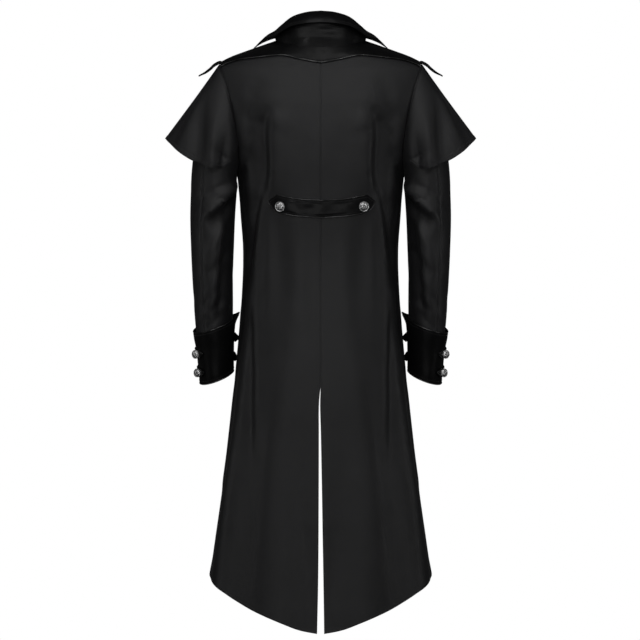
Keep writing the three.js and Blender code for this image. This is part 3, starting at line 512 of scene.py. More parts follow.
def through(points, share):
    """A smooth curve through four points, which turns evenly where they are uneven."""
    first, second, third, fourth = points
    ends = [2 * first - second, first, second, third, fourth, 2 * fourth - third]
    at = np.clip(share, 0, 1) * 3
    part = np.minimum(np.floor(at).astype(int), 2)
    t = np.expand_dims(at - part, -1)
    result = np.zeros_like(first + t)
    for k in range(3):
        p0, p1, p2, p3 = ends[k : k + 4]
        d0, d1, d2 = (
            np.maximum(np.linalg.norm(b - a, axis=-1, keepdims=True) ** 0.5, 1e-4)
            for a, b in ((p0, p1), (p1, p2), (p2, p3))
        )
        leave = ((p1 - p0) / d0 - (p2 - p0) / (d0 + d1) + (p2 - p1) / d1) * d1
        arrive = ((p2 - p1) / d1 - (p3 - p1) / (d1 + d2) + (p3 - p2) / d2) * d1
        cubic = (
            p1 + leave * t + (-3 * p1 + 3 * p2 - 2 * leave - arrive) * t**2
            + (2 * p1 - 2 * p2 + leave + arrive) * t**3
        )
        result = np.where(np.expand_dims(part == k, -1), cubic, result)
    return result


def lapel_surface(around, share):
    neck = neck_point(around)
    roll = line_of(LAPEL, around, "roll")
    edge = line_of(LAPEL, around, "edge")
    top = arched(roll, edge, neck, np.full(np.shape(around), float(LAPEL_ARCH)))
    return through((neck, roll, top, edge), share)


def arm_point(turn, z, out=0.0):
    outer = read(SLEEVE, "z", "outer", z) + out
    inner = read(SLEEVE, "z", "inner", z) - out
    x = (outer - inner) / 2 * np.cos(np.radians(turn))
    y = (read(SLEEVE, "z", "half", z) + out) * np.sin(np.radians(turn))
    drop = smoothstep(-400, -600, z) * (FOREARM_DROP_X * x + FOREARM_DROP_Y * y)
    return xyz((outer + inner) / 2 + x, read(SLEEVE, "z", "middle", z) + y, z - drop)


def sleeve_base(turn, stage):
    turn, stage = np.broadcast_arrays(np.asarray(turn, float), np.asarray(stage, float))
    around, z = armhole_place(turn)
    start = body(around, z, -ARMHOLE_LAP, 0) - np.array([ARMHOLE_LAP, 0, 0])
    end = arm_point(turn, np.full(turn.shape, float(SLEEVE_TOP_Z)))
    upper = (1 + np.cos(np.radians(turn))) / 2
    away = unit(xyz(0.12 + 0.36 * upper, 0.22 * np.sin(np.radians(turn)), -1 + 0.2 * upper))
    reach = np.linalg.norm(end - start, axis=-1, keepdims=True) * HEAD_STRETCH
    first = start + away * reach / 3
    second = end + np.array([0, 0, 1]) * reach / 3
    head = bezier3(start, first, second, end, np.clip(stage, 0, 1))
    arm = arm_point(turn, mix(SLEEVE_TOP_Z, SLEEVE_END_Z, np.clip(stage - 1, 0, 1.1)))
    return np.where(np.expand_dims(stage >= 1, -1), arm, head)


def sleeve(turn, stage, out=0.0, fine=1.0):
    turn, stage = np.broadcast_arrays(np.asarray(turn, float), np.asarray(stage, float))
    normal = -across_of(sleeve_base, turn, np.maximum(stage, 0.02), 1, 0.01)
    wrapped = np.where(turn > 180, turn - 360, turn)
    base = sleeve_base(turn, stage)
    fade = smoothstep(0.5, 0.8, stage) * smoothstep(2, 1.85, stage)
    push = fold_push(SLEEVE_FOLDS, wrapped, base[..., 2], 1) * fade
    small = fold_push(SLEEVE_FINE_FOLDS, wrapped, base[..., 2], 1)
    small = small + crease_push(SLEEVE_CREASES, wrapped, base[..., 2], 1)
    push = push + fine * small * fade
    return base + normal * np.expand_dims(out + push, -1)


def cape_base(turn, share):
    turn, share = np.broadcast_arrays(np.asarray(turn, float), np.asarray(share, float))
    near = np.abs(turn)
    start = sleeve(turn, np.full(turn.shape, CAPE_ROOT_STAGE), CLOTH + SEAM, 0)
    sign = np.where(turn < 0, -1, 1)
    x, y, z = (read(CAPE_HEM, "turn", name, near) for name in "xyz")
    hem = xyz(x, sign * y, z)
    upper = (1 + np.cos(np.radians(turn))) / 2
    away = unit(xyz(0.46 * upper + 0.1, 0.42 * np.sin(np.radians(turn)), -0.3 - 0.5 * upper))
    reach = np.linalg.norm(hem - start, axis=-1, keepdims=True)
    first = start + away * reach / 3
    return bezier3(start, first, mix(hem, first, 0.5), hem, share)


def cape(turn, share, out=0.0):
    turn, share = np.broadcast_arrays(np.asarray(turn, float), np.asarray(share, float))
    normal = -across_of(cape_base, turn, np.maximum(share, 0.03), 1, 0.02)
    push = 0.0
    for fold in rows_of(CAPE_FOLDS):
        middle = mix(fold["top_turn"], fold["hem_turn"], smoothstep(0.1, 1.1, share))
        push = push - fold["depth"] * np.exp(-(((np.abs(turn) - middle) / fold["width"]) ** 2))
    push = push * smoothstep(0.15, 0.75, share)
    roll = np.exp(-(((np.abs(turn) - 95) / 17) ** 2))
    bulge = 2.6 * np.exp(-(((share - 0.9) / 0.1) ** 2))
    hollow = 2 * np.exp(-(((share - 0.74) / 0.06) ** 2))
    push = push + roll * (bulge - hollow)
    return cape_base(turn, share) + normal * np.expand_dims(out + push, -1)


def tab_surface(side, along):
    y = side * read(TAB, "along", "half_width", along)
    drop = TAB_SIDE_DROP * (y / TAB["half_width"][0]) ** 2
    return xyz(read(TAB, "along", "x", along), y + TAB_SHIFT_Y, read(TAB, "along", "z", along) - drop)


def cuff_out(z):
    return CLOTH + SEAM + CUFF_FLARE * smoothstep(CUFF_TOP_Z - 45, CUFF_TOP_Z, z)


def strap_surface(turn, side, z, tip_lift, out=0.0):
    share = (turn - STRAP_TIP_TURN) / (STRAP_END_TURN - STRAP_TIP_TURN)
    point = np.minimum(share, 1 - share) / STRAP_POINT_SHARE
    half = STRAP_HALF_WIDTH * np.minimum(1, 0.12 + point)
    lift = tip_lift * (1 - smoothstep(0, STRAP_POINT_SHARE, share))
    height = z - half * side
    return arm_point(turn, height, cuff_out(height) + LEATHER + 0.35 + lift + out)


def belt_surface(x, down, out=0.0):
    top = read(BELT, "x", "top", np.abs(x))
    z = mix(top, read(BELT, "x", "bottom", np.abs(x)), down)
    return body(around_at(x + BELT_MIDDLE_X, z), z, 2 * SEAM + BELT_THICKNESS + out, 0)


# Sheets, beads and stitches


class Sheet:
    """A sheet's object, its outer points and normals in millimetres, and its flat size in metres."""

    def __init__(self, piece, points, normals, lengths):
        self.piece = piece
        self.points = points
        self.normals = normals
        quad = np.cross(points[1:, 1:] - points[:-1, :-1], points[1:, :-1] - points[:-1, 1:])
        self.area = float(np.linalg.norm(quad, axis=-1).sum() / 2) * MM * MM
        self.cut = (float(lengths["left"][:, -1].max()) * MM, float(lengths["top"][-1].max()) * MM)


def spaced(count, gather):
    """Shares from 0 to 1 for a grid's lines, closer together at both ends."""
    t = np.linspace(0, 1, count + 1)
    return t - gather * np.sin(2 * math.pi * t) / (2 * math.pi)


def lengths_of(points):
    """How far each point of a grid lies from its left and right, top and bottom edges along the sheet."""
    def run(p, axis):
        steps = np.linalg.norm(np.diff(p, axis=axis), axis=-1)
        start = np.zeros_like(np.take(steps, [0], axis=axis))
        return np.concatenate([start, np.cumsum(steps, axis=axis)], axis=axis)

    across, down = run(points, 1), run(points, 0)
    return {"left": across, "right": across[:, -1:] - across, "top": down, "bottom": down[-1:] - down}


def normals_of(points, closed):
    if closed:
        ring = np.concatenate([points[:, -2:-1], points, points[:, 1:2]], axis=1)
        across = ring[:, 2:] - ring[:, :-2]
    else:
        across = np.gradient(points, axis=1)
    return unit(np.cross(np.gradient(points, axis=0), across))


def active_only(piece):
    bpy.ops.object.select_all(action="DESELECT")
    piece.select_set(True)
    bpy.context.view_layer.objects.active = piece


def places_of(piece):
    """Where the points of a new primitive lie."""
    flat = np.empty(len(piece.data.vertices) * 3)
    piece.data.vertices.foreach_get("co", flat)
    return flat.reshape(-1, 3)


def lay(name, columns, rows, place, facing, wall, material, node=None, closed=False, edges=None,
        relief=None, gather=(0.8, 0.5)):
    """Lays a grid on one of the garment's surfaces, rolls its edges in and gives it its thickness."""
    bpy.ops.object.select_all(action="DESELECT")
    bpy.ops.mesh.primitive_grid_add(x_subdivisions=columns, y_subdivisions=rows, size=1)
    piece = bpy.context.object
    piece.name = piece.data.name = name
    flat = places_of(piece)
    j = np.rint((flat[:, 0] + 0.5) * columns).astype(int)
    i = np.rint((0.5 - flat[:, 1]) * rows).astype(int)
    u, v = np.meshgrid(spaced(columns, 0 if closed else gather[0]), spaced(rows, gather[1]))
    points = place(u, v)
    normals = normals_of(points, closed)
    if np.mean(np.sum(normals * facing(points), axis=-1)) < 0:
        normals = -normals
    lengths = lengths_of(points)
    push = np.zeros(points.shape[:2])
    for edge, (depth, width) in (edges or {}).items():
        push -= depth * np.exp(-((lengths[edge] / width) ** 2))
    if relief is not None:
        push += relief(u, v, points, lengths)
    points = points + normals * push[..., None]
    piece.data.vertices.foreach_set("co", (points[i, j] * MM).ravel())
    uv = np.stack([lengths["left"], lengths["bottom"]], axis=-1)[i, j] * MM
    corner = np.empty(len(piece.data.loops), int)
    piece.data.loops.foreach_get("vertex_index", corner)
    piece.data.uv_layers[0].data.foreach_set("uv", uv[corner].ravel())
    piece.data.update()
    active_only(piece)
    bpy.ops.object.mode_set(mode="EDIT")
    bpy.ops.mesh.select_all(action="SELECT")
    first = piece.data.polygons[len(piece.data.polygons) // 2]
    middle = (i[first.vertices[0]], j[first.vertices[0]])
    if Vector(normals[middle]).dot(first.normal) < 0:
        bpy.ops.mesh.flip_normals()
    if closed:
        bpy.ops.mesh.remove_doubles(threshold=1e-6)
    bpy.ops.object.mode_set(mode="OBJECT")
    solidify = piece.modifiers.new("wall", "SOLIDIFY")
    solidify.thickness = wall * MM
    solidify.offset = -1
    solidify.use_quality_normals = True
    bpy.ops.object.modifier_apply(modifier=solidify.name)
    finish_piece(piece, material, node)
    return Sheet(piece, points, normals, lengths)


def finish_piece(piece, material, node=None):
    """Gives a piece its material, smooths it, and puts it on the frame in place of its solid."""
    active_only(piece)
    bpy.ops.object.shade_smooth_by_angle(angle=math.radians(40))
    piece.data.materials.clear()
    piece.data.materials.append(material)
    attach(piece, BODY_NAME)
    if node:
        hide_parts(node)


def mirrored(place, sign):
    def other(u, v):
        points = place(u, v)
        points[..., 0] *= sign
        return points

    return other


def from_middle(points):
    """Outward from the body's middle."""
    out = points.copy()
    out[..., 1] -= read(BODY, "z", "shift", points[..., 2])
    out[..., 2] = 0
    return out


def from_arm(points):
    """Outward from the middle of the arm."""
    z = points[..., 2]
    middle = (read(SLEEVE, "z", "outer", z) + read(SLEEVE, "z", "inner", z)) / 2
    out = np.zeros_like(points)
    out[..., 0] = points[..., 0] - np.sign(points[..., 0]) * middle
    out[..., 1] = points[..., 1] - read(SLEEVE, "z", "middle", z)
    return out


def always(x, y, z):
    return lambda points: np.broadcast_to(np.array([x, y, z], float), points.shape)


def run_along(laid, edge, inset):
    """The line at a distance in from a sheet's edge, its points and normals, where there is room for it."""
    order = {"left": (0, 1), "right": (0, -1), "top": (1, 1), "bottom": (1, -1)}[edge]
    grid = laid.points if order[0] == 0 else laid.points.swapaxes(0, 1)
    normal = laid.normals if order[0] == 0 else laid.normals.swapaxes(0, 1)
    points, normals = [], []
    for line, across in zip(grid[:, :: order[1]], normal[:, :: order[1]]):
        far = np.concatenate([[0], np.cumsum(np.linalg.norm(np.diff(line, axis=0), axis=-1))])
        if far[-1] < 2.2 * inset:
            continue
        points.append([np.interp(inset, far, line[:, k]) for k in range(3)])
        normals.append([np.interp(inset, far, across[:, k]) for k in range(3)])
    return np.array(points), unit(np.array(normals))


def resampled(points, normals, step):
    far = np.concatenate([[0], np.cumsum(np.linalg.norm(np.diff(points, axis=0), axis=-1))])
    count = max(int(far[-1] / step), 1)
    at = (np.arange(count) + 0.5) * far[-1] / count
    place = np.stack([np.interp(at, far, points[:, k]) for k in range(3)], axis=-1)
    out = unit(np.stack([np.interp(at, far, normals[:, k]) for k in range(3)], axis=-1))
    ahead = np.stack([np.interp(at + 0.5, far, points[:, k]) for k in range(3)], axis=-1)
    back = np.stack([np.interp(at - 0.5, far, points[:, k]) for k in range(3)], axis=-1)
    return place, out, unit(ahead - back)


# Where the rings of one stitch lie along it, and their size.
STITCH_RINGS = ((-1, 0), (-0.72, 0.8), (0, 1), (0.72, 0.8), (1, 0))
STITCH_SIDES = 6
STITCH_LENGTH = 2.7
STITCH_RADIUS = 0.42
STITCH_RISE = 0.35


def one_stitch():
    """The points of one stitch, along it, across and up, and its faces."""
    template, faces = [], []
    for along, round_ in STITCH_RINGS:
        ring = 1 if round_ == 0 else STITCH_SIDES
        for k in range(ring):
            turn = 2 * math.pi * k / STITCH_SIDES
            template.append((along, round_ * math.cos(turn), round_ * math.sin(turn)))
    starts = (0, 1, 1 + STITCH_SIDES, 1 + 2 * STITCH_SIDES, 1 + 3 * STITCH_SIDES)
    for k in range(STITCH_SIDES):
        nxt = (k + 1) % STITCH_SIDES
        faces.append((starts[0], starts[1] + nxt, starts[1] + k))
        faces.append((starts[3] + k, starts[3] + nxt, starts[4]))
        for ring in (1, 2):
            a, b = starts[ring], starts[ring + 1]
            faces.append((a + k, a + nxt, b + nxt, b + k))
    return np.array(template), faces


def stitch(context, name, runs, lift=0.0):
    """One joined mesh of short raised threads along lines on a sheet."""
    template, faces = one_stitch()
    flatter = 1 - 0.25 * np.abs(template[:, :1])
    vertices, polygons = [], []
    for points, normals in runs:
        place, out, along = resampled(points, normals, context.scene.coat_sizes.stitch_pitch / MM)
        side = unit(np.cross(out, along))
        seat = place + out * (STITCH_RADIUS * STITCH_RISE + lift)
        for p, a, s, o in zip(seat, along, side, out):
            first = len(vertices) * len(template)
            vertices.append(
                p + template[:, :1] * a * STITCH_LENGTH / 2 + template[:, 1:2] * s * STITCH_RADIUS
                + template[:, 2:] * o * STITCH_RADIUS * flatter
            )
            polygons += [tuple(first + k for k in face) for face in faces]
    mesh = bpy.data.meshes.new(name)
    mesh.from_pydata((np.concatenate(vertices) * MM).tolist(), [], polygons)
    piece = bpy.data.objects.new(name, mesh)
    context.scene.collection.objects.link(piece)
    finish_piece(piece, finish_of("thread", context))
    return piece


CORD_BEVELS = 3


def bead(name, points, radius, material, node=None, closed=False):
    """A round cord of coated cloth, swept along a line."""
    curve = bpy.data.curves.new(name, "CURVE")
    curve.dimensions = "3D"
    curve.bevel_depth = radius * MM
    curve.bevel_resolution = CORD_BEVELS
    curve.use_fill_caps = True
    spline = curve.splines.new("POLY")
    spline.points.add(len(points) - 1)
    flat = np.concatenate([points * MM, np.ones((len(points), 1))], axis=1)
    spline.points.foreach_set("co", flat.ravel())
    spline.use_cyclic_u = closed
    piece = bpy.data.objects.new(name, curve)
    bpy.context.scene.collection.objects.link(piece)
    active_only(piece)
    bpy.ops.object.convert(target="MESH")
    piece = bpy.context.object
    piece.name = piece.data.name = name
    finish_piece(piece, material, node)


def outline_of(laid):
    """The outline of a strap or belt: along its top, down its end and back along its bottom."""
    return np.concatenate([laid.points[0], laid.points[1:, -1], laid.points[-1, -2::-1]])


# Materials


class Value:
    """A socket of a material, with arithmetic that adds its nodes."""

    def __init__(self, maker, socket):
        self.maker = maker
        self.socket = socket

    def _math(self, operation, *values):
        return self.maker.node("ShaderNodeMath", {"operation": operation}, dict(enumerate(values)))

    def __add__(self, other):
        return self._math("ADD", self, other)

    __radd__ = __add__

    def __sub__(self, other):
        return self._math("SUBTRACT", self, other)

    def __rsub__(self, other):
        return self._math("SUBTRACT", other, self)

    def __mul__(self, other):
        return self._math("MULTIPLY", self, other)

    __rmul__ = __mul__

    def __pow__(self, other):
        return self._math("POWER", self, other)

    def sine(self):
        return self._math("SINE", self)

    def between(self, low, high):
        """0 below low, 1 above high, smooth between."""
        sockets = dict(enumerate((self, low, high, 0.0, 1.0)))
        return self.maker.node("ShaderNodeMapRange", {"interpolation_type": "SMOOTHSTEP"}, sockets)


class Nodes:
    """Adds nodes to a tree."""

    def __init__(self, tree):
        self.tree = tree

    def add(self, kind, settings, sockets):
        """A node by its type, its settings, and the values or links of its sockets."""
        node = self.tree.nodes.new(kind)
        for key, value in settings.items():
            setattr(node, key, value)
        for key, value in sockets.items():
            if isinstance(value, Value):
                self.tree.links.new(value.socket, node.inputs[key])
            else:
                node.inputs[key].default_value = value
        return node

    def node(self, kind, settings, sockets, output=0):
        return Value(self, self.add(kind, settings, sockets).outputs[output])


class Finish(Nodes):
    """A material in the making: its nodes and its Principled shader."""

    def __init__(self, name, **sockets):
        self.material = bpy.data.materials.new(name)
        self.material.use_nodes = True
        super().__init__(self.material.node_tree)
        self.shader = self.tree.nodes["Principled BSDF"]
        for label, value in sockets.items():
            self.set(label.replace("_", " ").title().replace("Ior", "IOR"), value)

    def set(self, label, value):
        if isinstance(value, Value):
            self.tree.links.new(value.socket, self.shader.inputs[label])
        else:
            self.shader.inputs[label].default_value = value

    def place(self):
        return self.node("ShaderNodeTexCoord", {}, {}, "Object")

    def own_uv(self):
        return self.node("ShaderNodeTexCoord", {}, {}, "UV")

    def split(self, vector):
        return [Value(self, part) for part in self.add("ShaderNodeSeparateXYZ", {}, {0: vector}).outputs]

    def noise(self, vector, scale, detail=3.0, roughness=0.55):
        sockets = {"Vector": vector, "Scale": scale, "Detail": detail, "Roughness": roughness}
        return self.node("ShaderNodeTexNoise", {}, sockets, "Fac")

    def cells(self, vector, scale):
        """How far a place lies from the edge of its cell."""
        settings = {"feature": "DISTANCE_TO_EDGE"}
        return self.node("ShaderNodeTexVoronoi", settings, {"Vector": vector, "Scale": scale}, "Distance")

    def mixed(self, share, low, high):
        """A mix of two colours by a share that varies."""
        sockets = {0: share, 6: (*low, 1.0), 7: (*high, 1.0)}
        return self.node("ShaderNodeMix", {"data_type": "RGBA"}, sockets, 2)

    def bump(self, height, depth, strength, under=None):
        sockets = {"Strength": strength, "Distance": depth, "Height": height}
        if under is not None:
            sockets["Normal"] = under
        return self.node("ShaderNodeBump", {}, sockets, "Normal")


def shade(colour, factor):
    return tuple(min(1.0, c * factor) for c in colour)


def cloth_finish(name, colour):
    """Black satin-faced cloth: a fine twill with a soft sheen, a little uneven in colour."""
    finish = Finish(name, specular_ior_level=0.5, sheen_weight=0.03, sheen_roughness=0.35)
    place = finish.place()
    across, along, _ = finish.split(finish.own_uv())
    twill = ((across + along) * (2 * math.pi / 0.0011)).sine()
    weft = (along * (2 * math.pi / 0.0007)).sine()
    slub = finish.noise(finish.own_uv(), 420.0, 4.0)
    broad = finish.noise(place, 7.0, 4.0)
    fine = finish.noise(place, 60.0, 5.0)
    weave = twill * 0.5 + weft * 0.3 + slub * 0.8
    tone = (broad * 0.6 + fine * 0.25 + slub * 0.15).between(0.3, 0.7)
    finish.set("Base Color", finish.mixed(tone, shade(colour, 0.8), shade(colour, 1.22)))
    finish.set("Roughness", 0.44 + 0.12 * fine + 0.05 * slub)
    handle = finish.bump(fine * 0.6 + broad, 0.0012, 0.35)
    finish.set("Normal", finish.bump(weave, 0.00012, 0.35, handle))
    return finish.material


def leather_finish(name, colour, gloss=(0.02, 0.14), coat_ior=1.5):
    """Black coated cloth with a pressed leather grain: glossy in patches, with shallow wrinkles."""
    finish = Finish(name, specular_ior_level=0.14, coat_roughness=0.14, coat_ior=coat_ior)
    place = finish.place()
    grain = finish.cells(place, 620.0).between(0.02, 0.34)
    pores = finish.noise(place, 900.0, 2.0)
    wrinkle = finish.noise(place, 34.0, 4.0, 0.5)
    scuff = finish.noise(place, 95.0, 5.0, 0.6)
    finish.set("Base Color", finish.mixed(grain, shade(colour, 0.6), shade(colour, 1.35)))
    finish.set("Roughness", 0.34 + 0.14 * scuff.between(0.35, 0.75) - 0.05 * grain)
    shine = finish.noise(place, 48.0, 3.0).between(0.35, 0.65)
    finish.set("Coat Weight", gloss[0] + (gloss[1] - gloss[0]) * shine)
    soft = finish.bump(wrinkle, 0.0018, 0.22)
    finish.set("Normal", finish.bump(grain * 0.7 + pores * 0.3, 0.00006, 0.4, soft))
    return finish.material


def cord_finish(name, colour):
    """The same coated cloth pulled tight over a cord, which polishes it."""
    return leather_finish(name, colour, gloss=(0.25, 1.0), coat_ior=1.9)


def metal_finish(name, colour):
    """Bright cast silver, with painted shade in its hollows."""
    finish = Finish(name, metallic=1.0)
    hollow = finish.node("ShaderNodeAttribute", {"attribute_name": "hollow"}, {}, "Fac")
    dull = finish.noise(finish.place(), 700.0, 4.0)
    # Painted shade: in the hollows the base colour falls to nearly black.
    finish.set("Base Color", finish.mixed(hollow, colour, shade(colour, 0.06)))
    finish.set("Roughness", 0.2 + 0.14 * dull + 0.3 * hollow)
    finish.set("Normal", finish.bump(dull, 0.00005, 0.4))
    return finish.material


def thread_finish(name, colour):
    """Twisted sewing thread."""
    finish = Finish(name, specular_ior_level=0.4, sheen_weight=0.2, sheen_roughness=0.4)
    ply = finish.noise(finish.place(), 1500.0, 2.0)
    finish.set("Base Color", finish.mixed(ply, shade(colour, 0.6), shade(colour, 1.5)))
    finish.set("Roughness", 0.5 + 0.2 * ply)
    finish.set("Normal", finish.bump(ply, 0.0001, 0.5))
    return finish.material


FINISHES = {}


def finish_of(kind, context):
    """The material of a kind, made once."""
    if kind not in FINISHES:
        looks = context.scene.coat_looks
        makers = {
            "cloth": (cloth_finish, looks.cloth),
            "leather": (leather_finish, looks.leather),
            "cord": (cord_finish, looks.leather),
            "metal": (metal_finish, looks.metal),
            "thread": (thread_finish, looks.thread),
        }
        maker, colour = makers[kind]
        FINISHES[kind] = maker(kind, tuple(colour))
    return FINISHES[kind]


# The pieces


class CoatSizes(bpy.types.PropertyGroup):
    """Sizes that a maker would choose."""

    cloth_wall: FloatProperty(
        name="Cloth thickness", description="Thickness of a cloth piece with its turned edges",
        default=0.0012, min=0.0006, max=0.002, precision=4, subtype="DISTANCE", unit="LENGTH",
    )
    leather_wall: FloatProperty(
        name="Leather thickness", description="Thickness of a coated leather piece",
        default=0.0016, min=0.0008, max=0.002, precision=4, subtype="DISTANCE", unit="LENGTH",
    )
    stitch_pitch: FloatProperty(
        name="Stitch pitch", description="Distance from one stitch to the next",
        default=0.0037, min=0.002, max=0.006, precision=4, subtype="DISTANCE", unit="LENGTH",
    )
    big_button: FloatProperty(
        name="Big button radius", description="Radius of the front and belt buttons",
        default=0.0105, min=0.008, max=0.013, precision=4, subtype="DISTANCE", unit="LENGTH",
    )
    cuff_button: FloatProperty(
        name="Cuff button radius", description="Radius of the cuff buttons",
        default=0.009, min=0.006, max=0.011, precision=4, subtype="DISTANCE", unit="LENGTH",
    )
    petals: IntProperty(
        name="Button petals", description="Petals of the rosette on a button", default=8, min=5, max=12,
    )


class CoatLooks(bpy.types.PropertyGroup):
    """Colours of the coat and light of the studio."""

    cloth: FloatVectorProperty(
        name="Cloth", description="Colour of the cloth", default=(0.0085, 0.0085, 0.0095), size=3,
        min=0, max=1, subtype="COLOR",
    )
    leather: FloatVectorProperty(
        name="Leather", description="Colour of the coated leather", default=(0.0056, 0.0056, 0.006), size=3,
        min=0, max=1, subtype="COLOR",
    )
    metal: FloatVectorProperty(
        name="Metal", description="Colour of the buttons", default=(0.96, 0.96, 0.96), size=3,
        min=0, max=1, subtype="COLOR",
    )
    thread: FloatVectorProperty(
        name="Thread", description="Colour of the sewing thread", default=(0.012, 0.012, 0.013), size=3,
        min=0, max=1, subtype="COLOR",
    )
    key: FloatProperty(
        name="Key light", description="Power of the key light", default=3.5, min=0, max=500, unit="POWER",
    )


CLOTH_EDGES = {"left": (0.9, 2.6), "right": (0.9, 2.6), "top": (0.8, 2.6)}


class COAT_OT_back(bpy.types.Operator):
    """Both halves of the back, with the centre seam, the vent and the soft folds"""

    bl_idname = "coat.back"
    bl_label = "Back"

    def execute(self, context):
        wall = context.scene.coat_sizes.cloth_wall / MM
        for side, sign in SIDES:
            laid = lay(
                f"back_{side}_cloth", 76, 176, mirrored(lambda u, v, s=side: back_place(u, v, s), sign),
                from_middle, wall, finish_of("cloth", context), f"back_{side}",
                edges={**CLOTH_EDGES, "left": (0.8, 1.8)},
            )
        return {"FINISHED"}


class COAT_OT_fronts(bpy.types.Operator):
    """Both fronts, the left one lapped over the right one, swept away below the waist"""

    bl_idname = "coat.fronts"
    bl_label = "Fronts"

    def execute(self, context):
        wall = context.scene.coat_sizes.cloth_wall / MM
        for side, sign in SIDES:
            lap = LAP if sign > 0 else 0
            laid = lay(
                f"front_{side}_cloth", 72, 150, mirrored(lambda u, v, k=lap: front_place(u, v, k), sign),
                from_middle, wall, finish_of("cloth", context), f"front_{side}",
                edges={"left": (0.9, 2.6), "top": (0.8, 2.6)},
            )
            runs = [run_along(laid, "right", EDGE_INSET)]
            thread = stitch(context, f"front_{side}_stitching", runs)
        return {"FINISHED"}


class COAT_OT_yoke(bpy.types.Operator):
    """The coated yoke over the shoulders, its piping and stitching"""

    bl_idname = "coat.yoke"
    bl_label = "Yoke"

    def execute(self, context):
        wall = context.scene.coat_sizes.leather_wall / MM
        laid = lay(
            "yoke_leather", 180, 30, yoke_place, from_middle, wall, finish_of("leather", context),
            "yoke", edges={"bottom": (0.5, 2.5)}, gather=(0.2, 0.5),
        )
        end = armhole_place(YOKE_BACK_TURN)[0]
        around = np.linspace(-end, end, 160) * 0.985
        z = read(YOKE_EDGE, "around", "z", np.abs(around))
        line = body(around, z, SEAM + YOKE_CORD_OUT, 0)
        bead("yoke_piping_leather", line, YOKE_CORD, finish_of("cord", context), "yoke_piping")
        points, normals = run_along(laid, "bottom", YOKE_INSET)
        behind = points[:, 1] > 0
        thread = stitch(context, "yoke_stitching", [(points[behind], normals[behind])])
        return {"FINISHED"}


def stand_wrinkles(u, v, points, lengths):
    """Two short wrinkles and a hollow across the stand, under the leaf."""
    x, z = points[..., 0], points[..., 2]
    back = points[..., 1] > 0
    push = 0.0
    for middle, height, half, depth in ((10, 6, 26, 1.6), (-12, 18, 22, 1.4), (0, 30, 40, -1.0)):
        push = push + depth * np.exp(-(((x - middle) / half) ** 2) - ((z - height) / 4.5) ** 2)
    return np.where(back, push, 0)


class COAT_OT_collar(bpy.types.Operator):
    """The collar's stand and its leaf, with a stitched edge"""

    bl_idname = "coat.collar"
    bl_label = "Collar"

    def execute(self, context):
        wall = context.scene.coat_sizes.leather_wall / MM
        leather = finish_of("leather", context)

        def spread(rows, u):
            share = 2 * u - 1
            return np.sign(share) * read(rows, "share", "around", np.abs(share))

        def stand(u, v):
            points = stand_surface(spread(STAND_SPREAD, u), 1 - v)
            points[..., 2] -= STAND_FOOT_DROP * smoothstep(0.82, 1, v)
            points[..., :2] *= 1 - STAND_FOOT_DRAW * smoothstep(0.8, 1, v)[..., None]
            return points

        def leaf(u, v):
            return leaf_surface(spread(LEAF_SPREAD, u), v)

        laid = lay(
            "collar_stand_leather", 120, 18, stand, from_middle, wall, leather,
            "collar_stand", relief=stand_wrinkles, gather=(0.2, 0.2),
        )
        laid = lay(
            "collar_leaf_leather", 130, 24, leaf, lambda p: from_middle(p) + np.array([0, 0, 40.0]), wall,
            leather, "collar_leaf", gather=(0.2, 0.4),
        )
        runs = [run_along(laid, edge, EDGE_INSET) for edge in ("bottom", "left", "right")]
        thread = stitch(context, "collar_stitching", runs)
        return {"FINISHED"}


class COAT_OT_lapels(bpy.types.Operator):
    """The lapels, turned back over the chest"""

    bl_idname = "coat.lapels"
    bl_label = "Lapels"

    def execute(self, context):
        wall = context.scene.coat_sizes.cloth_wall / MM

        def lapel(u, v):
            around = read(LAPEL_SPREAD, "share", "around", u)
            return lapel_surface(around, np.clip(v, 0.01, 0.99))

        for side, sign in SIDES:
            laid = lay(
                f"lapel_{side}_cloth", 44, 60, mirrored(lapel, sign), always(0, -1, 0.2), wall,
                finish_of("cloth", context), f"lapel_{side}",
            )
            runs = [run_along(laid, edge, EDGE_INSET) for edge in ("bottom", "left")]
            thread = stitch(context, f"lapel_{side}_stitching", runs)
        return {"FINISHED"}


class COAT_OT_sleeves(bpy.types.Operator):
    """The two-piece sleeves with their seams and drag folds"""

    bl_idname = "coat.sleeves"
    bl_label = "Sleeves"

    def execute(self, context):
        wall = context.scene.coat_sizes.cloth_wall / MM
        halves = (
            ("top", SLEEVE_FORE_TURN, SLEEVE_HIND_TURN),
            ("under", SLEEVE_HIND_TURN, SLEEVE_FORE_TURN + 360),
        )
        for side, sign in SIDES:
            for half, start, end in halves:
                def surface(u, v, a=start, b=end):
                    return sleeve(mix(a - SLEEVE_LAP_DEG, b + SLEEVE_LAP_DEG, u), 2 * v)

                laid = lay(
                    f"sleeve_{half}_{side}_cloth", 56, 130, mirrored(surface, sign), from_arm, wall,
                    finish_of("cloth", context), f"sleeve_{half}_{side}",
                    edges={"left": (1.0, 2.4), "right": (1.0, 2.4), "top": (0.8, 2.4)},
                )
                if half == "top":
                    runs = [run_along(laid, "right", SLEEVE_INSET)]
                    stitch(context, f"sleeve_{side}_stitching", runs)
        return {"FINISHED"}


def cape_relief(u, v, points, lengths):
    """The cape's hem, turned up under a row of stitches."""
    far = lengths["bottom"]
    return 0.45 * smoothstep(9.0, 7.5, far) - 0.35 * np.exp(-(((far - 8.6) / 1.1) ** 2))


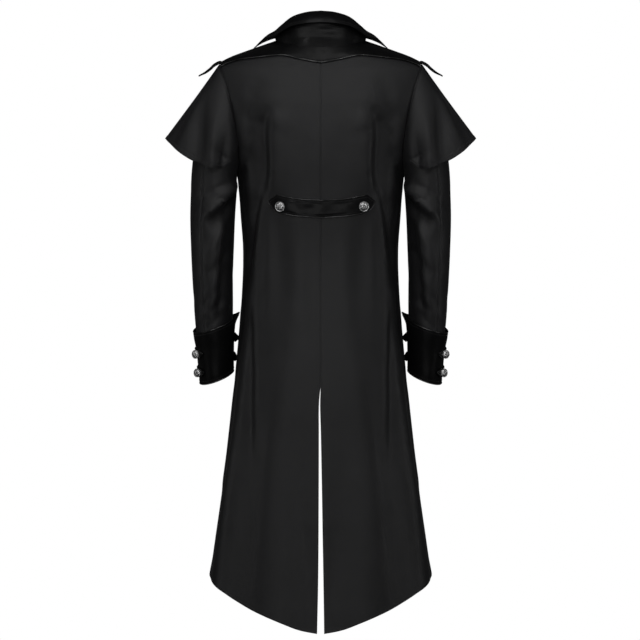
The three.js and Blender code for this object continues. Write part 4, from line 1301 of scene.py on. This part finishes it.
class COAT_OT_capes(bpy.types.Operator):
    """The shoulder capes, which hang free over the upper arms"""

    bl_idname = "coat.capes"
    bl_label = "Capes"

    def execute(self, context):
        wall = context.scene.coat_sizes.cloth_wall / MM
        for side, sign in SIDES:
            laid = lay(
                f"cape_{side}_cloth", 110, 52,
                mirrored(lambda u, v: cape(mix(-CAPE_END_TURN, CAPE_END_TURN, u), v), sign),
                from_arm, wall, finish_of("cloth", context), f"cape_{side}",
                edges={"top": (1.0, 2.4)}, relief=cape_relief, gather=(0.2, 0.5),
            )
            runs = [run_along(laid, "bottom", CAPE_INSET)]
            thread = stitch(context, f"cape_{side}_stitching", runs, lift=0.1)
        return {"FINISHED"}


class COAT_OT_tabs(bpy.types.Operator):
    """The shoulder tabs with their stitched edges"""

    bl_idname = "coat.tabs"
    bl_label = "Shoulder tabs"

    def execute(self, context):
        for side, sign in SIDES:
            laid = lay(
                f"tab_{side}_leather", 20, 36,
                mirrored(lambda u, v: tab_surface(2 * u - 1, v), sign), always(0.45, 0, 1),
                TAB_WALL, finish_of("leather", context), f"tab_{side}", gather=(0.4, 0.2),
            )
            runs = [run_along(laid, edge, TAB_INSET) for edge in ("left", "right")]
            thread = stitch(context, f"tab_{side}_stitching", runs)
        return {"FINISHED"}


def cuff_surface(u, v):
    """The cuff, with a pointed corner that stands away at the top of the inner side."""
    turn = 360 * u
    z = mix(CUFF_TOP_Z, CUFF_HEM_Z, v)
    corner = np.exp(-(((turn - CUFF_CORNER_TURN) / 15) ** 2)) * smoothstep(CUFF_TOP_Z - 16, CUFF_TOP_Z, z)
    out = cuff_out(z) + LEATHER - SEAM + CUFF_CORNER_OUT * corner
    return arm_point(turn, z + CUFF_CORNER_RISE * corner, out)


def cuff_relief(u, v, points, lengths):
    """Soft waves of the cuff's leather, which end before its edges."""
    turn = 360 * u
    soft = np.sin(np.radians(3 * turn) + 4 * v) * 0.5 + np.sin(np.radians(5 * turn) - 7 * v + 1) * 0.35
    return soft * smoothstep(0, 0.15, v) * smoothstep(1, 0.85, v)


class COAT_OT_cuffs(bpy.types.Operator):
    """The coated cuffs with their piped edge and two pointed straps each"""

    bl_idname = "coat.cuffs"
    bl_label = "Cuffs"

    def execute(self, context):
        wall = context.scene.coat_sizes.leather_wall / MM
        leather = finish_of("leather", context)
        cord = finish_of("cord", context)
        for side, sign in SIDES:
            laid = lay(
                f"cuff_{side}_leather", 120, 44, mirrored(cuff_surface, sign), from_arm, wall, leather,
                f"cuff_{side}", closed=True, relief=cuff_relief, gather=(0, 0.5),
            )
            runs = [run_along(laid, "top", CUFF_TOP_INSET), run_along(laid, "bottom", EDGE_INSET)]
            thread = stitch(context, f"cuff_{side}_stitching", runs)
            for edge, row in (("top", 0), ("hem", -1)):
                line = laid.points[row, :-1] - laid.normals[row, :-1] * CUFF_CORD_IN
                bead(f"cuff_{edge}_{side}_piping", line, CUFF_CORD, cord, closed=True)
            for name, z, tip_lift in STRAPS:
                def strap(u, v, height=z, lift=tip_lift):
                    turn = mix(STRAP_TIP_TURN, STRAP_END_TURN, u)
                    return strap_surface(turn, 2 * v - 1, height, lift, STRAP_OUT)

                laid = lay(
                    f"cuff_strap_{name}_{side}_leather", 130, 10, mirrored(strap, sign), from_arm,
                    STRAP_WALL, leather, f"cuff_strap_{name}_{side}", gather=(0.85, 0.3),
                )
                runs = [run_along(laid, edge, STRAP_INSET) for edge in ("top", "bottom")]
                thread = stitch(context, f"cuff_strap_{name}_{side}_stitching", runs)
                bead(f"cuff_strap_{name}_{side}_binding", outline_of(laid), STRAP_CORD, cord, closed=True)
        return {"FINISHED"}


def belt_relief(u, v, points, lengths):
    """The padded belt's crown and its shallow dents."""
    x = points[..., 0]
    dents = 0.7 * np.sin(x / 11 + 3 * v) * np.exp(-(((x - 30) / 40) ** 2)) + 0.45 * np.sin(x / 17 - 5 * v)
    edge = np.minimum(lengths["top"], lengths["bottom"])
    crown = 1.0 * smoothstep(0, 9, edge)
    return crown + dents * smoothstep(2, 8, edge) - 0.8


class COAT_OT_belt(bpy.types.Operator):
    """The half belt with its bound and stitched edge"""

    bl_idname = "coat.belt"
    bl_label = "Half belt"

    def execute(self, context):
        cord = finish_of("cord", context)
        end = BELT["x"][-1]
        laid = lay(
            "half_belt_leather", 150, 22, lambda u, v: belt_surface(mix(-end, end, u), v), from_middle,
            BELT_WALL, finish_of("leather", context), "half_belt", relief=belt_relief,
            gather=(0.3, 0.4),
        )
        runs = [run_along(laid, edge, BELT_INSET) for edge in ("top", "bottom")]
        thread = stitch(context, "half_belt_stitching", runs)
        bead("half_belt_binding", outline_of(laid), BELT_CORD, cord, closed=True)
        return {"FINISHED"}


BUTTON_TURNS = 96
BUTTON_RINGS = 40
BUTTON_PROFILE = table(
    "way radius height",
    (0, 0, 0), (0.12, 0.93, 0), (0.17, 0.99, 0.05), (0.22, 1, 0.13), (0.3, 0.93, 0.24), (0.36, 0.84, 0.2),
    (0.42, 0.78, 0.22), (0.6, 0.55, 0.42), (0.8, 0.28, 0.5), (1, 0, 0.52),
)


def button_pattern(context):
    """A domed button of radius 1 with a roped rim and a rosette, which each sewn button copies."""
    petals = context.scene.coat_sizes.petals
    bpy.ops.object.select_all(action="DESELECT")
    bpy.ops.mesh.primitive_uv_sphere_add(
        segments=BUTTON_TURNS, ring_count=BUTTON_RINGS, radius=1, calc_uvs=False
    )
    ball = context.object
    x, y, z = places_of(ball).T
    v = np.rint(np.arccos(np.clip(-z, -1, 1)) / math.pi * BUTTON_RINGS) / BUTTON_RINGS
    turn = np.rint(np.arctan2(y, x) / (2 * math.pi) * BUTTON_TURNS) * (2 * math.pi / BUTTON_TURNS)

    def petal(reach):
        """1 along the middle of each petal and 0 between two, at a reach from the button's middle."""
        return np.abs(np.cos(petals * turn / 2 + 2.2 * (1 - reach)))

    r = np.clip(read(BUTTON_PROFILE, "way", "radius", v), 0, 1)
    domed = v > 0.5
    rope = 0.035 * np.sin(3.5 * petals * turn + 9 * v) * np.exp(-(((v - 0.27) / 0.06) ** 2))
    rosette = 0.085 * (petal(r) ** 1.4 - 0.45) * smoothstep(0.4, 0.52, v) * smoothstep(0.98, 0.86, v)
    boss = 0.05 * np.exp(-((r / 0.16) ** 2)) * domed
    ring = -0.06 * np.exp(-(((r - 0.24) / 0.05) ** 2)) * domed
    height = read(BUTTON_PROFILE, "way", "height", v) + rosette + boss + ring + rope
    out = np.where((v > 0) & (v < 1), r + rope, 0)
    shape = xyz(out * np.cos(turn), out * np.sin(turn), np.where(v > 0, height, 0))
    ball.data.vertices.foreach_set("co", shape.ravel())

    # The grooves and the gaps between the petals, kept as the hollow attribute, where the silver is given
    # painted shade.
    far = np.abs(out)
    deep = (1 - smoothstep(0.1, 0.6, petal(far))) * smoothstep(0.4, 0.5, v)
    groove = np.exp(-(((v - 0.38) / 0.035) ** 2)) + np.exp(-(((far - 0.24) / 0.05) ** 2)) * domed
    hollow = np.where((v > 0) & (v < 1), np.clip(deep + groove, 0, 1), 0)
    shadow = ball.data.attributes.new("hollow", "FLOAT", "POINT")
    shadow.data.foreach_set("value", hollow.astype(np.float32))
    pattern = ball.data
    bpy.data.objects.remove(ball)
    return pattern


def sew_button(context, pattern, node, radius, place, direction):
    """A copy of the button's pattern, with its own mesh, at its size and place."""
    name = f"{node}_metal"
    mesh = pattern.copy()
    mesh.name = name
    turn = Vector((0, 0, 1)).rotation_difference(Vector(direction)).to_matrix().to_4x4()
    seat = Matrix.Translation(Vector(place) * MM)
    mesh.transform(seat @ turn @ Matrix.Scale(radius * MM, 4))
    piece = bpy.data.objects.new(name, mesh)
    context.scene.collection.objects.link(piece)
    finish_piece(piece, finish_of("metal", context), node)


class COAT_OT_buttons(bpy.types.Operator):
    """The silver buttons of the front, the half belt and the cuffs"""

    bl_idname = "coat.buttons"
    bl_label = "Buttons"

    def execute(self, context):
        sizes = context.scene.coat_sizes
        big = sizes.big_button / MM
        small = sizes.cuff_button / MM
        pattern = button_pattern(context)

        def sewn(node, radius, place, direction):
            sew_button(context, pattern, node, radius, place, direction)

        turn = float(STRAP_BUTTON_TURN)
        for side, sign in SIDES:
            flip = np.array([sign, 1, 1])
            for name, height, _ in STRAPS:
                z = float(height)
                out = unit(across_of(arm_point, turn, z, 1, 2) + np.array(CUFF_BUTTON_LEAN))
                seat = arm_point(turn, z, cuff_out(z) + 2 * LEATHER + 4 * SEAM) + CUFF_BUTTON_LIFT * out
                sewn(f"cuff_button_{name}_{side}", small, seat * flip, out * flip)
            x = BELT_MIDDLE_X + sign * BELT_BUTTON_X
            around = around_at(x, BELT_BUTTON_Z)
            seat = body(around, BELT_BUTTON_Z, BELT_THICKNESS + 5 * SEAM, 0)
            out = unit(body(around, BELT_BUTTON_Z, BELT_THICKNESS + 20, 0) - seat)
            sewn(f"belt_button_{side}", big, seat, out)
        for k in range(FRONT_BUTTONS):
            z = FRONT_BUTTON_TOP - k * FRONT_BUTTON_STEP
            seat = body(180, z, LAP + 2 * SEAM, 0)
            out = -across_of(lambda a, b: body(a, b, 0, 0), np.float64(180), np.float64(z), 1, 8)
            sewn(f"front_button_{k + 1}", big, seat, out)
        bpy.data.meshes.remove(pattern)
        return {"FINISHED"}


# The studio

PIXEL = 2.05
PHOTO_MIDDLE_X = 320.65
PHOTO_NECK_Y = 40
FRAME_PIXELS = 640
CAMERA_FAR = 20.0
CAMERA_AHEAD = 0.05
SENSOR = 36.0
FLOOR_Z = -1.29
FLOOR_RADIUS = 1.5
FLOOR_FULL_RADIUS = 0.75
WHITE = (1, 1, 1, 1)
# The room's light on the coat, and what its gloss mirrors of the room.
ROOM_LIGHT = 0.075
ROOM_GLOSS = 0.02
WAIST = (0, 0.05, -0.25)
# Each light's name, place, aim, size and power as a share of the key's.
MIDDLE_LIGHTS = (
    ("key", (0, 1.45, 0.4), (0, 0.05, -0.1), (1.7, 0.6), 1.15),
    ("top_key", (0, 1.35, 2.0), WAIST, (1.4, 0.9), 1.9),
    ("low_fill", (0, 2.8, -1.1), WAIST, (2.6, 0.8), 2.1),
)
# These light the front, and no gloss mirrors them.
FRONT_LIGHTS = (
    ("front_key", (0, -1.7, 2.1), WAIST, (2.0, 1.2), 3),
    ("front_fill", (0, -3.2, -0.5), WAIST, (1.6, 1.4), 5),
)


def side_lights(side, sign):
    """The lights of one side, of which the two small ones put glints on the cuffs and buttons."""
    cuff = (sign * 0.24, 0, -0.64)
    return (
        (f"key_{side}", (sign * 1.38, 1.69, 1.55), WAIST, (1.2, 1.2), 1.2),
        (f"side_{side}", (sign * 2.39, 0.47, 1.15), WAIST, (1.0, 1.4), 0.7),
        (f"glint_{side}", (sign * 1.8, 0.5, -0.6), cuff, (0.6, 0.6), 0.6),
        (f"spark_{side}", (sign * 0.7, 2.6, 0.3 - 0.5 * sign), WAIST, (0.3, 0.3), 0.3),
    )


def area_light(name, place, aim, size, power):
    light = bpy.data.lights.new(name, "AREA")
    light.shape = "RECTANGLE"
    light.size, light.size_y = size
    light.energy = power
    lamp = bpy.data.objects.new(name, light)
    lamp.location = place
    lamp.rotation_euler = (Vector(aim) - Vector(place)).to_track_quat("-Z", "Y").to_euler()
    bpy.context.scene.collection.objects.link(lamp)
    return lamp


class COAT_OT_stage(bpy.types.Operator):
    """The pale floor, the studio lights and the camera"""

    bl_idname = "coat.stage"
    bl_label = "Studio"

    def execute(self, context):
        scene = context.scene
        key = scene.coat_looks.key
        bpy.ops.object.select_all(action="DESELECT")
        bpy.ops.mesh.primitive_circle_add(
            vertices=96, radius=FLOOR_RADIUS, fill_type="NGON", location=(0, 0, FLOOR_Z)
        )
        floor = context.object
        floor.name = "studio_floor"
        bpy.ops.object.transform_apply(location=True)
        finish = Finish("studio_floor", roughness=0.9, specular_ior_level=0.1)
        x, y, _ = finish.split(finish.place())
        far = (x * x + y * y) ** 0.5
        finish.set("Base Color", (0.9, 0.9, 0.9, 1))
        finish.set("Emission Color", WHITE)
        finish.set("Emission Strength", 0.55)
        finish.set("Alpha", 1.0 - far.between(FLOOR_FULL_RADIUS, FLOOR_RADIUS))
        floor.data.materials.append(finish.material)
        floor.visible_glossy = floor.visible_diffuse = False

        world = bpy.data.worlds.new("studio")
        scene.world = world
        world.use_nodes = True
        world.node_tree.nodes.clear()
        sky = Nodes(world.node_tree)
        diffuse = sky.node("ShaderNodeLightPath", {}, {}, "Is Diffuse Ray")
        seen = sky.node("ShaderNodeLightPath", {}, {}, "Is Camera Ray")
        light = diffuse * (ROOM_LIGHT - ROOM_GLOSS) + ROOM_GLOSS
        room = sky.node("ShaderNodeBackground", {}, {"Color": WHITE, "Strength": light})
        backdrop = sky.node("ShaderNodeBackground", {}, {"Color": WHITE, "Strength": 1.0})
        choose = sky.node("ShaderNodeMixShader", {}, {0: seen, 1: room, 2: backdrop})
        sky.add("ShaderNodeOutputWorld", {}, {"Surface": choose})
        scene.view_settings.view_transform = "Standard"

        for name, place, aim, size, share in MIDDLE_LIGHTS:
            area_light(name, place, aim, size, key * share)
        for name, place, aim, size, share in FRONT_LIGHTS:
            area_light(name, place, aim, size, key * share).visible_glossy = False
        for side, sign in SIDES:
            for name, place, aim, size, share in side_lights(side, sign):
                area_light(name, place, aim, size, key * share)

        camera = bpy.data.cameras.new("photo_camera")
        camera.sensor_width = SENSOR
        camera.lens = SENSOR * CAMERA_FAR / (FRAME_PIXELS * PIXEL * MM)
        camera.clip_start, camera.clip_end = 1.0, 100.0
        seat = bpy.data.objects.new("photo_camera", camera)
        half = FRAME_PIXELS / 2
        across, up = ((at - half) * PIXEL * MM for at in (PHOTO_MIDDLE_X, PHOTO_NECK_Y))
        seat.location = (across, CAMERA_FAR + CAMERA_AHEAD, up)
        seat.rotation_euler = (math.pi / 2, 0, math.pi)
        scene.collection.objects.link(seat)
        scene.camera = seat
        return {"FINISHED"}


OPERATORS = (
    COAT_OT_yoke, COAT_OT_back, COAT_OT_fronts, COAT_OT_collar, COAT_OT_lapels, COAT_OT_sleeves,
    COAT_OT_capes, COAT_OT_tabs, COAT_OT_cuffs, COAT_OT_belt, COAT_OT_buttons, COAT_OT_stage,
)


class COAT_PT_panel(bpy.types.Panel):
    """The tailcoat's pieces, sizes and colours"""

    bl_idname = "COAT_PT_panel"
    bl_label = "Tailcoat"
    bl_space_type = "VIEW_3D"
    bl_region_type = "UI"
    bl_category = "Tailcoat"

    def draw(self, context):
        for group in (context.scene.coat_sizes, context.scene.coat_looks):
            column = self.layout.column()
            for name in group.__annotations__:
                column.prop(group, name)
        for operator in OPERATORS:
            self.layout.operator(operator.bl_idname)


CLASSES = (CoatSizes, CoatLooks, *OPERATORS, COAT_PT_panel)


def register():
    for cls in CLASSES:
        bpy.utils.register_class(cls)
    bpy.types.Scene.coat_sizes = PointerProperty(type=CoatSizes)
    bpy.types.Scene.coat_looks = PointerProperty(type=CoatLooks)


def unregister():
    del bpy.types.Scene.coat_looks
    del bpy.types.Scene.coat_sizes
    for cls in reversed(CLASSES):
        bpy.utils.unregister_class(cls)


def main():
    register()
    for operator in OPERATORS:
        group, name = operator.bl_idname.split(".")
        getattr(getattr(bpy.ops, group), name)()


if __name__ == "__main__":
    main()
